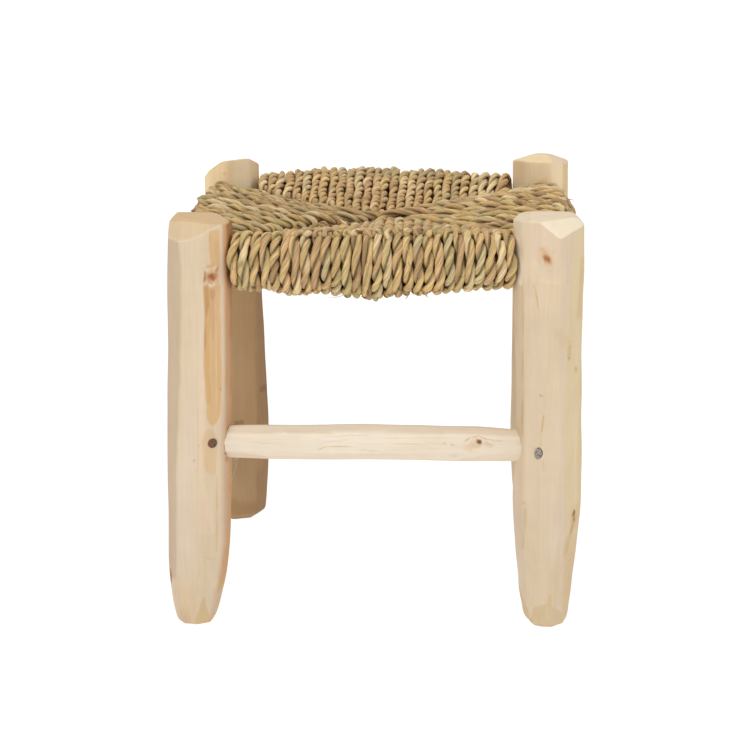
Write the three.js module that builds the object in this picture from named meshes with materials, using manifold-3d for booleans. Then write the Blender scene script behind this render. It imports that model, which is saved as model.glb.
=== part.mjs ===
// Low stool with four hand-shaved wooden legs, four seat rails, three stretchers pinned by nails,
// and a seat wound from one length of palm rope. Millimetres, +Z up. The front looks along -Y, +X is
// to the right of it, and the origin is on the floor under the middle of the seat.

import * as THREE from 'three';
import { mergeVertices } from 'three/addons/utils/BufferGeometryUtils.js';
import Module from 'manifold-3d';

const wasm = await Module();
wasm.setup();

// Driving dimensions of the whole stool.
const stoolHeight = 352;
const legSpacing = 286; // between the axes of two legs where the seat rails enter, both ways
const railDrop = 41; // from the top of the highest leg down to the axis of the seat rails
const overrun = 20; // how far a cutting body reaches past what it cuts

// Clearances between pieces that touch.
const woodClearance = 0.3;
const ropeClearance = 1.5; // between rope and rail on the bends; the stiff rope touches only in places

// Legs: the width of each one half way up.
const frontLeftThickness = 54.5;
const frontRightThickness = 57.2;
const backLeftThickness = 54;
const backRightThickness = 54;

// Seat rails: bulged poles under the rope, with a round tenon at each end.
const railMiddleRadius = 17.7;
const railEndRadius = 13.2;
const railTenonRadius = 9;
const railShoulder = 4;

// Stretchers: the same kind of pole, driven into bored legs and held by nails.
const stretcherMiddleRadius = 15.3;
const stretcherEndRadius = 13.6;
const stretcherTenonRadius = 12.2;
const stretcherTenonDepth = 27;
const stretcherShoulder = 8;
const frontStretcherHeight = 158.5;
const frontStretcherForward = 5; // in front of the axes of the front legs
const sideStretcherHeight = 80;
const sideStretcherOutward = 3; // outside the axes of the legs

// Nails: round wire nails, one through each end of a stretcher.
const nailShankRadius = 1.8;
const nailHeadRadius = 4.2;
const nailHeadThickness = 1.2;
const nailHeadRecess = 0.4; // how far the head stands below the face of the leg
const nailLength = 38;
const nailTipLength = 5;
const nailLeftInset = 12.5; // from the mouth of the front stretcher's left hole to its nail
const nailRightInset = 20;
const nailLeftRise = 3.8; // above the axis of the front stretcher
const nailRightRise = -1.5;
const nailSideInset = 14; // the same on the two side stretchers
const nailSideRise = 3;

// Rope: one length, wound corner after corner from the legs towards the middle of the seat.
const ropeRadius = 3.55;
const ropeRounds = 14;
const ropeSides = 5;
const ropeLegClearance = 0.6;
const ropeMiddleGap = 4; // left between the last strands in the middle of the seat
const seatDish = 16; // how far the top strands drop from the rails to the middle
const seatUnderRise = 3; // how far the lowest strands rise from the rails to the middle
const ropeSampleStep = 1.5; // spacing of the points on which the least gap is measured
const ropeStretch = 16; // nearer than this along the rope, two points are on the same stretch

// Counts of faces and rings, and small shares that set the style of the facets.
const boreSides = 16;
const nailSides = 10;
const bulgeShares = [-0.8, -0.5, -0.2, 0.2, 0.5, 0.8];
const ropeFanShare = 0.035; // strands spread this much where they pass the outside of a rail
const wrapTurns = [105.5, 152.5, 199.5, 246.5]; // degrees round a rail, 90 at its top
const wrapHalfStep = 23.5;

// The rope's free points at one corner of a round. Each is [along X, along Y, lift, girth]: the places
// are shares of the strand pitch, the lift is a share of the rope's radius over the top or the lowest
// strands (for the riser, of the depth between those), and the girth is a share of the rope's radius,
// because the rope is pulled thin where strands are packed inside the seat.
const ropePathShares = {
  crossing: [-0.701, -0.168, -1.562, 0.73],
  landing: [0.284, -1.167, -1.194, 0.91],
  dive: [0.451, -1.071, -0.746, 0.78],
  riserFoot: [-0.054, -0.626, 0.155, 0.62],
  riserHead: [-0.015, 0.161, 0.805, 0.63],
  turn: [-0.003, 0.068, 1.158, 0.88],
  under: [0.137, 0.2, 0.226, 0.8],
  leaving: [1.027, -0.701, 2.642, 0.74],
};

// Materials.
const legWood = new THREE.MeshStandardMaterial({ color: 0xdcc49c, roughness: 0.75, metalness: 0 });
const paleWood = new THREE.MeshStandardMaterial({ color: 0xe8d8bb, roughness: 0.75, metalness: 0 });
const railWood = new THREE.MeshStandardMaterial({ color: 0xd2b78a, roughness: 0.8, metalness: 0 });
const nailSteel = new THREE.MeshStandardMaterial({ color: 0x77716a, roughness: 0.5, metalness: 0.9 });
const palmRope = new THREE.MeshStandardMaterial({ color: 0xc4a873, roughness: 0.9, metalness: 0 });

const radians = THREE.MathUtils.degToRad;
const railHeight = stoolHeight - railDrop;
const railOffset = legSpacing / 2;

// Facets of each leg seen from above: the direction of each long edge in degrees from +X, and its
// distance from the axis as a share of half the leg's thickness.
const frontLeftEdgeShares = [
  [10, 1], [52, 1.01], [98, 0.99], [143, 1], [190, 1], [235, 1.02], [281, 1], [326, 1.03],
];
const frontRightEdgeShares = [
  [27, 1], [67, 0.98], [107, 1], [147, 0.96], [187, 0.96], [227, 1.01], [258, 0.965], [288, 1.02], [347, 1.04],
];
const backLeftEdgeShares = [
  [0, 1.02], [42, 1], [86, 0.98], [130, 1], [178, 0.95], [222, 0.98], [268, 0.98], [318, 1.03],
];
const backRightEdgeShares = [
  [20, 1.03], [64, 1], [110, 0.99], [155, 1], [200, 1.03], [245, 1], [290, 1], [335, 1.05],
];

// Stations of each leg, foot to top: height as a share of the stool's height, girth as a share of the
// leg's thickness, and the shift of the axis along X and Y as shares of the thickness.
const frontLeftStationShares = [
  [0, 0.52, -0.147, -0.06], [0.0085, 0.61, -0.14, -0.06], [0.023, 0.67, -0.133, -0.06],
  [0.048, 0.754, -0.127, -0.058], [0.076, 0.81, -0.118, -0.055], [0.102, 0.88, -0.107, -0.05],
  [0.15, 0.952, -0.093, -0.045], [0.204, 0.982, -0.07, -0.04], [0.26, 0.995, -0.06, -0.035],
  [0.425, 1, -0.045, -0.03], [0.58, 0.99, -0.026, -0.015], [0.68, 0.98, -0.012, -0.005],
  [0.8, 1, -0.004, 0], [0.91, 0.982, 0.018, 0], [0.942, 0.982, 0.022, 0], [0.972, 0.965, 0.026, 0.035],
  [1, 0.92, 0.03, 0.07],
];
const frontRightStationShares = [
  [0, 0.45, 0.08, -0.01], [0.007, 0.54, 0.075, -0.03], [0.017, 0.62, 0.06, -0.05],
  [0.031, 0.68, 0.05, -0.054], [0.057, 0.715, 0.047, -0.054], [0.082, 0.785, 0.036, -0.05],
  [0.133, 0.827, 0.039, -0.048], [0.184, 0.9, 0.041, -0.045], [0.258, 0.97, 0.045, -0.04],
  [0.309, 0.997, 0.053, -0.035], [0.433, 1.005, 0.048, -0.03], [0.58, 1, 0.032, -0.015],
  [0.7, 1.009, 0.008, -0.005], [0.82, 1.03, 0.004, 0], [0.87, 1.044, 0.006, 0], [1, 1.04, -0.004, 0],
];
const backLeftStationShares = [
  [0, 0.55, 0.045, 0.02], [0.007, 0.81, 0.043, 0.02], [0.014, 0.99, 0.042, 0.02], [0.022, 1.04, 0.042, 0.02],
  [0.057, 1.08, 0.045, 0.02], [0.125, 1.11, 0.055, 0.016], [0.28, 1.1, 0.055, 0.014],
  [0.4, 1.055, 0.05, 0.014], [0.48, 1.037, 0.047, 0.012], [0.6, 1.004, 0.038, 0.01],
  [0.92, 0.969, 0.03, 0], [1, 0.96, 0.03, 0],
];
const backRightStationShares = [
  [0, 0.46, 0.08, 0.06], [0.008, 0.6, 0.08, 0.06], [0.028, 0.71, 0.08, 0.058], [0.062, 0.81, 0.078, 0.055],
  [0.113, 0.89, 0.075, 0.05], [0.17, 0.95, 0.072, 0.045], [0.26, 0.985, 0.07, 0.04],
  [0.43, 1, 0.066, 0.03], [0.7, 1, 0.062, 0.01], [0.93, 0.99, 0.06, 0], [1, 0.985, 0.06, 0],
];

// Knife cuts on the leg tops: the direction in which each cut falls, in degrees from +X, its slope in
// degrees, and where it starts, as a share of half the thickness from the axis.
const frontLeftCutShares = [[180, 62, 0.78], [188, 30, 0.6], [350, 10, 0.1], [90, 20, 0.5], [20, 40, 0.8]];
const frontRightCutShares = [[305, 52, 0.66], [180, 10, 0.5], [5, 38, 0.76], [90, 10, 0.5]];
const backLeftCutShares = [[160, 36, -0.26], [125, 16, -1], [40, 24, 0.08], [5, 60, 0.87]];
const backRightCutShares = [[150, 20, 0.4], [5, 12, 0.44]];

// The four legs, with the share of the stool's height that each one reaches.
const legs = {
  front_left: {
    side: -1, row: -1, thickness: frontLeftThickness, reachShare: 0.995,
    edges: frontLeftEdgeShares, stations: frontLeftStationShares, cuts: frontLeftCutShares,
  },
  front_right: {
    side: 1, row: -1, thickness: frontRightThickness, reachShare: 1,
    edges: frontRightEdgeShares, stations: frontRightStationShares, cuts: frontRightCutShares,
  },
  back_left: {
    side: -1, row: 1, thickness: backLeftThickness, reachShare: 0.997,
    edges: backLeftEdgeShares, stations: backLeftStationShares, cuts: backLeftCutShares,
  },
  back_right: {
    side: 1, row: 1, thickness: backRightThickness, reachShare: 0.9935,
    edges: backRightEdgeShares, stations: backRightStationShares, cuts: backRightCutShares,
  },
};

// A closed body from rings with the same number of points, each ring a list of Vector3 that runs
// anticlockwise seen from the side of the last ring.
function skinRings(rings) {
  const sides = rings[0].length;
  const positions = rings.flat().flatMap((point) => [point.x, point.y, point.z]);
  const indices = [];
  for (let ring = 0; ring < rings.length - 1; ring += 1) {
    for (let side = 0; side < sides; side += 1) {
      const next = (side + 1) % sides;
      const low = ring * sides;
      const high = low + sides;
      indices.push(low + side, low + next, high + next);
      indices.push(low + side, high + next, high + side);
    }
  }
  const last = (rings.length - 1) * sides;
  for (let side = 1; side < sides - 1; side += 1) {
    indices.push(0, side + 1, side);
    indices.push(last, last + side, last + side + 1);
  }
  const geometry = new THREE.BufferGeometry();
  geometry.setAttribute('position', new THREE.Float32BufferAttribute(positions, 3));
  geometry.setIndex(indices);
  return geometry;
}

function toSolid(geometry) {
  const bare = geometry.clone();
  bare.deleteAttribute('normal');
  bare.deleteAttribute('uv');
  const merged = mergeVertices(bare);
  return new wasm.Manifold(new wasm.Mesh({
    numProp: 3,
    vertProperties: new Float32Array(merged.attributes.position.array),
    triVerts: new Uint32Array(merged.index.array),
  }));
}

function toGeometry(solid) {
  const mesh = solid.getMesh();
  const geometry = new THREE.BufferGeometry();
  geometry.setAttribute('position', new THREE.BufferAttribute(mesh.vertProperties, 3));
  geometry.setIndex(new THREE.BufferAttribute(mesh.triVerts, 1));
  return geometry;
}

function subtractAll(geometry, cutters) {
  const body = cutters.reduce((solid, cutter) => solid.subtract(toSolid(cutter)), toSolid(geometry));
  return toGeometry(body);
}

// A cylinder that starts at a point and runs a length along a direction.
function rod(start, direction, radius, length, sides) {
  const geometry = new THREE.CylinderGeometry(radius, radius, length, sides);
  geometry.translate(0, length / 2, 0);
  const turn = new THREE.Quaternion().setFromUnitVectors(new THREE.Vector3(0, 1, 0), direction);
  geometry.applyQuaternion(turn);
  return geometry.translate(start.x, start.y, start.z);
}

// The section of a leg at a height above the floor, as a polygon in the stool's own coordinates.
function legSection(leg, height) {
  const share = height / stoolHeight;
  const above = Math.max(1, leg.stations.findIndex((station) => station[0] >= share));
  const [low, high] = [leg.stations[above - 1], leg.stations[above]];
  const blend = (share - low[0]) / (high[0] - low[0]);
  const [girth, shiftX, shiftY] = [1, 2, 3].map((column) => low[column] + (high[column] - low[column]) * blend);
  const centreX = leg.side * railOffset + shiftX * leg.thickness;
  const centreY = leg.row * railOffset + shiftY * leg.thickness;
  return leg.edges.map(([turn, reach]) => {
    const radius = reach * girth * leg.thickness / 2;
    const angle = radians(turn);
    return new THREE.Vector3(centreX + radius * Math.cos(angle), centreY + radius * Math.sin(angle), height);
  });
}

// Where a line along one axis leaves a leg, at a height and at a place on the other axis. The side
// is -1 for the low end of the line inside the leg and 1 for the high end.
function legFace(leg, height, axis, place, side) {
  const other = axis === 'x' ? 'y' : 'x';
  const section = legSection(leg, height);
  const crossings = [];
  section.forEach((start, index) => {
    const end = section[(index + 1) % section.length];
    if ((start[other] - place) * (end[other] - place) < 0) {
      const blend = (place - start[other]) / (end[other] - start[other]);
      crossings.push(start[axis] + (end[axis] - start[axis]) * blend);
    }
  });
  return side > 0 ? Math.max(...crossings) : Math.min(...crossings);
}

// The furthest that a leg reaches along an axis over a band of heights.
function legReach(leg, lowHeight, highHeight, axis, side) {
  const places = [lowHeight, (lowHeight + highHeight) / 2, highHeight]
    .flatMap((height) => legSection(leg, height).map((point) => point[axis] * side));
  return side * Math.max(...places);
}

// Half the clear width between the legs at the seat rails, the same both ways.
const railBand = railMiddleRadius + 2 * ropeRadius;
const innerFaces = Object.values(legs).flatMap((leg) => [
  Math.abs(legReach(leg, railHeight - railBand, railHeight + railBand, 'x', -leg.side)),
  Math.abs(legReach(leg, railHeight - railBand, railHeight + railBand, 'y', -leg.row)),
]);
const seatHalfWidth = Math.min(...innerFaces) - ropeLegClearance;
const ropePitch = (2 * seatHalfWidth - ropeMiddleGap) / (2 * ropeRounds);

// The radius of a bulged pole at a share of the way from its middle (0) to its end (1).
const bulgedRadius = (pole, share) => (
  pole.endRadius + (pole.middleRadius - pole.endRadius) * (1 - share * share)
);

// A hewn pole along +Z about its middle: a tenon at each end, a shoulder and a bulged body.
function poleGeometry(pole) {
  const { tenonRadius, shoulder, edgeShares } = pole;
  const [lowEnd, highEnd] = pole.shoulders;
  const middle = (lowEnd + highEnd) / 2;
  const half = (highEnd - lowEnd) / 2;
  const shoulderShare = 1 - shoulder / half;
  const stations = [
    [pole.tips[0], tenonRadius],
    [lowEnd, tenonRadius],
    ...[-shoulderShare, ...bulgeShares, shoulderShare]
      .map((share) => [middle + half * share, bulgedRadius(pole, share)]),
    [highEnd, tenonRadius],
    [pole.tips[1], tenonRadius],
  ];
  return skinRings(stations.map(([place, radius]) => edgeShares.map(([turn, reach]) => new THREE.Vector3(
    radius * reach * Math.cos(radians(turn)),
    radius * reach * Math.sin(radians(turn)),
    place,
  ))));
}

// Long edges of the poles, as directions in degrees and shares of their radius.
const railEdgeShares = [[0, 1], [36, 0.98], [72, 1], [108, 1], [144, 0.98], [180, 1], [216, 1], [252, 0.98], [288, 1], [324, 1]];
const stretcherEdgeShares = [[5, 1], [42, 0.97], [80, 1], [118, 0.98], [155, 1], [194, 0.99], [232, 1], [270, 0.97], [306, 1], [338, 0.98]];

// A straight pole between two legs, described by the axis that it runs along ('x' or 'y'), its height
// and its place on the other axis. Its faces are where its own axis enters the legs, and its
// shoulders are where its full body has to end to stay clear of them.
function poleBetween(legA, legB, axis, height, place, kind) {
  const [low, high] = [height - kind.endRadius, height + kind.endRadius];
  const faces = [legFace(legA, height, axis, place, 1), legFace(legB, height, axis, place, -1)];
  const shoulders = [
    legReach(legA, low, high, axis, 1) + woodClearance,
    legReach(legB, low, high, axis, -1) - woodClearance,
  ];
  const tips = [faces[0] - kind.tenonDepth, faces[1] + kind.tenonDepth];
  return { legA, legB, axis, height, place, faces, shoulders, tips, ...kind };
}

// The tenons of two seat rails nearly meet inside each leg.
const railTip = railOffset - railTenonRadius - 2 * woodClearance;
const railKind = {
  middleRadius: railMiddleRadius, endRadius: railEndRadius, tenonRadius: railTenonRadius,
  tips: [-railTip, railTip], shoulder: railShoulder, edgeShares: railEdgeShares, material: railWood,
};
const stretcherKind = {
  middleRadius: stretcherMiddleRadius, endRadius: stretcherEndRadius, tenonRadius: stretcherTenonRadius,
  tenonDepth: stretcherTenonDepth, shoulder: stretcherShoulder, edgeShares: stretcherEdgeShares,
  material: paleWood,
};

const frontStretcherPlace = -railOffset - frontStretcherForward;
const sideStretcherPlace = railOffset + sideStretcherOutward;
const poles = {
  seat_rail_front: poleBetween(legs.front_left, legs.front_right, 'x', railHeight, -railOffset, railKind),
  seat_rail_back: poleBetween(legs.back_left, legs.back_right, 'x', railHeight, railOffset, railKind),
  seat_rail_left: poleBetween(legs.front_left, legs.back_left, 'y', railHeight, -railOffset, railKind),
  seat_rail_right: poleBetween(legs.front_right, legs.back_right, 'y', railHeight, railOffset, railKind),
  stretcher_front: poleBetween(
    legs.front_left, legs.front_right, 'x', frontStretcherHeight, frontStretcherPlace, stretcherKind),
  stretcher_left: poleBetween(
    legs.front_left, legs.back_left, 'y', sideStretcherHeight, -sideStretcherPlace, stretcherKind),
  stretcher_right: poleBetween(
    legs.front_right, legs.back_right, 'y', sideStretcherHeight, sideStretcherPlace, stretcherKind),
};

// Turns a body built along +Z about the origin so that it runs along the pole's axis at its place.
function alongPole(geometry, pole) {
  if (pole.axis === 'x') {
    geometry.rotateY(Math.PI / 2);
    return geometry.translate(0, pole.place, pole.height);
  }
  geometry.rotateX(-Math.PI / 2);
  return geometry.translate(pole.place, 0, pole.height);
}

// The hole that a pole's tenon sits in, through the inner face of one leg.
function tenonBore(pole, end) {
  const inward = end === 0 ? -1 : 1;
  const radius = (pole.tenonRadius + woodClearance) / Math.cos(Math.PI / boreSides);
  const mouth = pole.faces[end] - inward * overrun;
  const length = Math.abs(pole.tips[end] - pole.faces[end]) + woodClearance + overrun;
  const start = pole.axis === 'x'
    ? new THREE.Vector3(mouth, pole.place, pole.height)
    : new THREE.Vector3(pole.place, mouth, pole.height);
  const direction = pole.axis === 'x' ? new THREE.Vector3(inward, 0, 0) : new THREE.Vector3(0, inward, 0);
  return rod(start, direction, radius, length, boreSides);
}

// The nail through one end of a stretcher: it enters the leg square to the stretcher, from the
// outside, and its head lies in a shallow dent. Its hole goes right through the tenon.
function nailPlace(pole, end, leg, inset, rise) {
  const along = pole.faces[end] + (end === 0 ? -inset : inset);
  const height = pole.height + rise;
  const [across, outwardSign] = pole.axis === 'x' ? ['y', leg.row] : ['x', leg.side];
  const face = legFace(leg, height, across, along, outwardSign);
  const head = new THREE.Vector3(along, along, height);
  head[across] = face - outwardSign * nailHeadRecess;
  const outward = new THREE.Vector3();
  outward[across] = outwardSign;
  const throughTenon = Math.abs(face - pole.place) + pole.tenonRadius + woodClearance;
  return { head, outward, holeDepth: Math.max(nailLength + woodClearance, throughTenon) };
}

const front = poles.stretcher_front;
const left = poles.stretcher_left;
const right = poles.stretcher_right;
const nails = {
  nail_front_left: nailPlace(front, 0, legs.front_left, nailLeftInset, nailLeftRise),
  nail_front_right: nailPlace(front, 1, legs.front_right, nailRightInset, nailRightRise),
  nail_left_front: nailPlace(left, 0, legs.front_left, nailSideInset, nailSideRise),
  nail_left_back: nailPlace(left, 1, legs.back_left, nailSideInset, nailSideRise),
  nail_right_front: nailPlace(right, 0, legs.front_right, nailSideInset, nailSideRise),
  nail_right_back: nailPlace(right, 1, legs.back_right, nailSideInset, nailSideRise),
};

// The hole that a nail makes, and the dent under its head.
function nailHoles({ head, outward, holeDepth }) {
  const bottom = head.clone().addScaledVector(outward, -holeDepth);
  const seat = head.clone().addScaledVector(outward, -nailHeadThickness - woodClearance);
  const widened = 1 / Math.cos(Math.PI / boreSides);
  return [
    rod(bottom, outward, (nailShankRadius + woodClearance) * widened, holeDepth + overrun, boreSides),
    rod(seat, outward, (nailHeadRadius + woodClearance) * widened, overrun, boreSides),
  ];
}

function nailGeometry() {
  const profile = [
    [0, -nailLength], [nailShankRadius, nailTipLength - nailLength], [nailShankRadius, -nailHeadThickness],
    [nailHeadRadius, -nailHeadThickness], [nailHeadRadius, 0], [0, 0],
  ];
  return new THREE.LatheGeometry(profile.map(([radius, height]) => new THREE.Vector2(radius, height)), nailSides);
}

// A leg about its own foot: the lofted pole, its knife cuts, and the holes of what it carries.
function legGeometry(name, leg) {
  const rings = leg.stations.map((station) => legSection(leg, station[0] * stoolHeight));
  const top = leg.reachShare * stoolHeight;
  const half = leg.thickness / 2;
  const centre = new THREE.Vector3(leg.side * railOffset, leg.row * railOffset, 0);
  let body = toSolid(skinRings(rings)).trimByPlane([0, 0, -1], -top);
  leg.cuts.forEach(([toward, slope, reachShare]) => {
    const outward = new THREE.Vector3(Math.cos(radians(toward)), Math.sin(radians(toward)), 0);
    const normal = outward.clone().multiplyScalar(-Math.sin(radians(slope)));
    normal.z = -Math.cos(radians(slope));
    const crest = centre.clone().addScaledVector(outward, reachShare * half).setZ(top);
    body = body.trimByPlane(normal.toArray(), normal.dot(crest));
  });
  const bores = Object.values(poles).flatMap((pole) => [pole.legA, pole.legB]
    .map((owner, end) => (owner === leg ? tenonBore(pole, end) : null))
    .filter((bore) => bore));
  const holes = Object.values(nails)
    .filter(({ head }) => Math.sign(head.x) === leg.side && Math.sign(head.y) === leg.row)
    .flatMap(nailHoles);
  [...bores, ...holes].forEach((cutter) => {
    body = body.subtract(toSolid(cutter));
  });
  return toGeometry(body).translate(-centre.x, -centre.y, 0);
}

const stool = new THREE.Group();

function addPiece(name, geometry, material, position) {
  const mesh = new THREE.Mesh(geometry, material);
  mesh.name = name;
  if (position) {
    mesh.position.copy(position);
  }
  stool.add(mesh);
  return mesh;
}

Object.entries(legs).forEach(([name, leg]) => {
  const foot = new THREE.Vector3(leg.side * railOffset, leg.row * railOffset, 0);
  addPiece(`leg_${name}`, legGeometry(name, leg), legWood, foot);
});

Object.entries(poles).forEach(([name, pole]) => {
  const whole = alongPole(poleGeometry(pole), pole);
  const pinned = Object.values(nails).flatMap((nail) => nailHoles(nail).slice(0, 1));
  addPiece(name, name.startsWith('stretcher') ? subtractAll(whole, pinned) : whole, pole.material);
});

Object.entries(nails).forEach(([name, nail]) => {
  const piece = addPiece(name, nailGeometry(), nailSteel, nail.head);
  piece.quaternion.setFromUnitVectors(new THREE.Vector3(0, 1, 0), nail.outward);
});

// The radius of the rope's path round a rail, at a place along the rail.
const ropeReach = (place) => bulgedRadius(railKind, place / seatHalfWidth) + ropeRadius + ropeClearance;

// One corner of one round, at the front left: the rope comes from the strand that it crosses, passes
// over the front rail and under it, rises inside the corner, passes over the left rail and under it,
// and leaves for the next corner. Each point is [x, y, z, share of the rope's radius].
function cornerPath(round) {
  const inset = (round + 0.5) * ropePitch;
  const place = inset - seatHalfWidth;
  const reach = ropeReach(place);
  const fromRail = inset + railOffset - seatHalfWidth;
  const top = railHeight + reach - seatDish * fromRail / railOffset;
  const bottom = railHeight - reach + seatUnderRise * fromRail / railOffset;
  const free = ([acrossShare, alongShare, liftShare, girthShare], level, unit) => [
    place + acrossShare * ropePitch, place + alongShare * ropePitch, level + liftShare * unit, girthShare,
  ];
  const wrap = wrapTurns.map((turn) => {
    const radius = reach / Math.cos(radians(wrapHalfStep));
    const outward = radius * Math.cos(radians(turn));
    const fanned = place * (1 - ropeFanShare * Math.cos(radians(turn)));
    return [fanned, outward - railOffset, railHeight + radius * Math.sin(radians(turn))];
  });
  const shares = ropePathShares;
  return [
    free(shares.crossing, top, ropeRadius),
    free(shares.landing, top, ropeRadius),
    ...wrap.map(([along, outward, height]) => [along, outward, height, 1]),
    free(shares.dive, bottom, ropeRadius),
    free(shares.riserFoot, bottom, top - bottom),
    free(shares.riserHead, bottom, top - bottom),
    free(shares.turn, top, ropeRadius),
    ...wrap.map(([along, outward, height]) => [outward, along, height, 1]),
    free(shares.under, bottom, ropeRadius),
    free(shares.leaving, bottom, ropeRadius),
  ];
}

// The whole path: every round visits the four corners in turn.
function ropePath() {
  const path = [];
  for (let round = 0; round < ropeRounds; round += 1) {
    for (let corner = 0; corner < 4; corner += 1) {
      cornerPath(round).forEach(([x, y, z, girthShare]) => {
        const point = new THREE.Vector3(x, y, z);
        point.applyAxisAngle(new THREE.Vector3(0, 0, 1), corner * Math.PI / 2);
        path.push({ point, radius: girthShare * ropeRadius });
      });
    }
  }
  return path;
}

// A tube along a path, its rings carried from point to point without twist.
function tubeAlong(path, sides) {
  const steps = path.slice(1).map(({ point }, index) => point.clone().sub(path[index].point).normalize());
  let across = new THREE.Vector3(0, 0, 1);
  return skinRings(path.map(({ point, radius }, index) => {
    const before = steps[Math.max(0, index - 1)];
    const after = steps[Math.min(steps.length - 1, index)];
    const along = before.clone().add(after).normalize();
    across = across.clone().addScaledVector(along, -across.dot(along)).normalize();
    const third = along.clone().cross(across);
    return Array.from({ length: sides }, (_, side) => {
      const angle = 2 * Math.PI * side / sides;
      return point.clone()
        .addScaledVector(across, radius * Math.cos(angle))
        .addScaledVector(third, radius * Math.sin(angle));
    });
  }));
}

// The least clear distance between two stretches of the rope, measured on closely spaced points.
// Points nearer to each other along the rope than a few diameters belong to the same stretch.
function leastGap(path) {
  const samples = [];
  let travelled = 0;
  path.slice(1).forEach(({ point, radius }, index) => {
    const from = path[index];
    const length = point.distanceTo(from.point);
    const count = Math.ceil(length / ropeSampleStep);
    for (let step = 0; step < count; step += 1) {
      const blend = step / count;
      const place = from.point.clone().lerp(point, blend);
      samples.push([place.x, place.y, place.z, from.radius + (radius - from.radius) * blend, travelled + length * blend]);
    }
    travelled += length;
  });
  let least = Infinity;
  samples.forEach(([x, y, z, radius, place], index) => {
    for (let other = index + 1; other < samples.length; other += 1) {
      const [otherX, otherY, otherZ, otherRadius, otherPlace] = samples[other];
      if (otherPlace - place > ropeStretch && Math.abs(otherX - x) < ropeStretch) {
        const gap = Math.hypot(otherX - x, otherY - y, otherZ - z) - radius - otherRadius;
        least = Math.min(least, gap);
      }
    }
  });
  return { least, length: travelled };
}

const path = ropePath();
const { least, length } = leastGap(path);
console.log(`seat rope: ${length.toFixed(0)} mm long, least gap to itself ${least.toFixed(2)} mm`);
addPiece('seat_rope', tubeAlong(path, ropeSides), palmRope);

export default stool;
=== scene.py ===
import math

import bpy
import numpy as np
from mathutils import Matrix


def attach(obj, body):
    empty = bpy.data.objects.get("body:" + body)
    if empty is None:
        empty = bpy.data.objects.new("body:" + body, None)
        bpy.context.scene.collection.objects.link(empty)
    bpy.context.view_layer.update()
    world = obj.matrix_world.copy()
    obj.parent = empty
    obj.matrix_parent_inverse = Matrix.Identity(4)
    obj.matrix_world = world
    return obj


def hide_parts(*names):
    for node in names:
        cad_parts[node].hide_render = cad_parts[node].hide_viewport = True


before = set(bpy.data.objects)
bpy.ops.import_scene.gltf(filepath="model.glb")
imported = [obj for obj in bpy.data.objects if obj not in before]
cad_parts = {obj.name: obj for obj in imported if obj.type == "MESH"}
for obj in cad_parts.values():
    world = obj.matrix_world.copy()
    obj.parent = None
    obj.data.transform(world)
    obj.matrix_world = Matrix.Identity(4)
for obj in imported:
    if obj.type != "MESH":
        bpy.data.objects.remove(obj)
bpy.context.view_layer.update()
mm = 0.001
fullTurn = 2 * math.pi
print("frame loaded,", len(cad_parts), "nodes")


def light(red, green, blue):
    # a colour given in bytes, as linear light: ((c + 0.055) / 1.055) ** 2.4, or c / 12.92 when dark
    share = np.array([red, green, blue]) / 255
    return np.where(share > 0.04045, ((share + 0.055) / 1.055) ** 2.4, share / 12.92)


def ripple(points, size, seed, waves=18):
    # smooth noise about zero: a sum of cosines with random directions and phases, divided by the
    # root of their number; their wavelengths are 0.7 to 1.6 times the size
    rng = np.random.default_rng(seed)
    points = np.asarray(points, float)
    if points.ndim == 1:
        points = points[:, None]
    total = np.zeros(points.shape[:-1])
    for _ in range(waves):
        direction = rng.normal(size=points.shape[-1])
        direction /= np.linalg.norm(direction)
        wavelength = size * rng.uniform(0.7, 1.6)
        phase = rng.uniform(0, fullTurn)
        total += np.cos(points @ direction * fullTurn / wavelength + phase)
    return total / math.sqrt(waves)


def fade(value, low, high):
    # 0 below low, 1 above high, and 3t^2 - 2t^3 between them
    share = np.clip((value - low) / (high - low), 0, 1)
    return share * share * (3 - 2 * share)


def blendInto(tint, colour, amount):
    # moves a tint towards a colour by an amount at each point: tint + amount * (colour - tint)
    return tint + np.asarray(amount)[..., None] * (colour - tint)


def newObject(name, data):
    made = bpy.data.objects.new(name, data)
    bpy.context.scene.collection.objects.link(made)
    return made


def closedSurface(name, ringSets):
    # each ring set is [ring, point, xyz] in metres; quads join neighbours along and around, and a
    # fan to the middle of the first and of the last ring closes each end. Sets share one mesh.
    vertices, corners, starts = [], [], []
    offset = loops = 0
    for rings in ringSets:
        count, around = rings.shape[:2]
        vertices += [rings.reshape(-1, 3), rings[[0, -1]].mean(axis=1)]
        row = offset + np.arange(count - 1)[:, None] * around
        here = np.arange(around)
        after = (here + 1) % around
        quads = np.stack([row + here, row + after, row + around + after, row + around + here], -1)
        first = offset + count * around
        last = offset + (count - 1) * around
        low = np.stack([np.full(around, first), after + offset, here + offset], -1)
        high = np.stack([np.full(around, first + 1), last + here, last + after], -1)
        corners += [quads.ravel(), low.ravel(), high.ravel()]
        fans = loops + quads.size
        starts += [np.arange(loops, fans, 4), np.arange(fans, fans + 6 * around, 3)]
        loops = fans + 6 * around
        offset += count * around + 2
    vertices, corners, starts = (np.concatenate(part) for part in (vertices, corners, starts))
    mesh = bpy.data.meshes.new(name)
    mesh.vertices.add(len(vertices))
    mesh.vertices.foreach_set("co", vertices.astype(np.float32).ravel())
    mesh.loops.add(len(corners))
    mesh.loops.foreach_set("vertex_index", corners.astype(np.int32))
    mesh.polygons.add(len(starts))
    mesh.polygons.foreach_set("loop_start", starts.astype(np.int32))
    mesh.update(calc_edges=True)
    mesh.polygons.foreach_set("use_smooth", np.ones(len(starts), bool))
    return newObject(name, mesh)


def withEnds(values):
    # values [ring, point, n] of one ring set, with the two middle points of its ends added
    return np.vstack([values.reshape(-1, values.shape[-1]), values[[0, -1]].mean(axis=1)])


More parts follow.
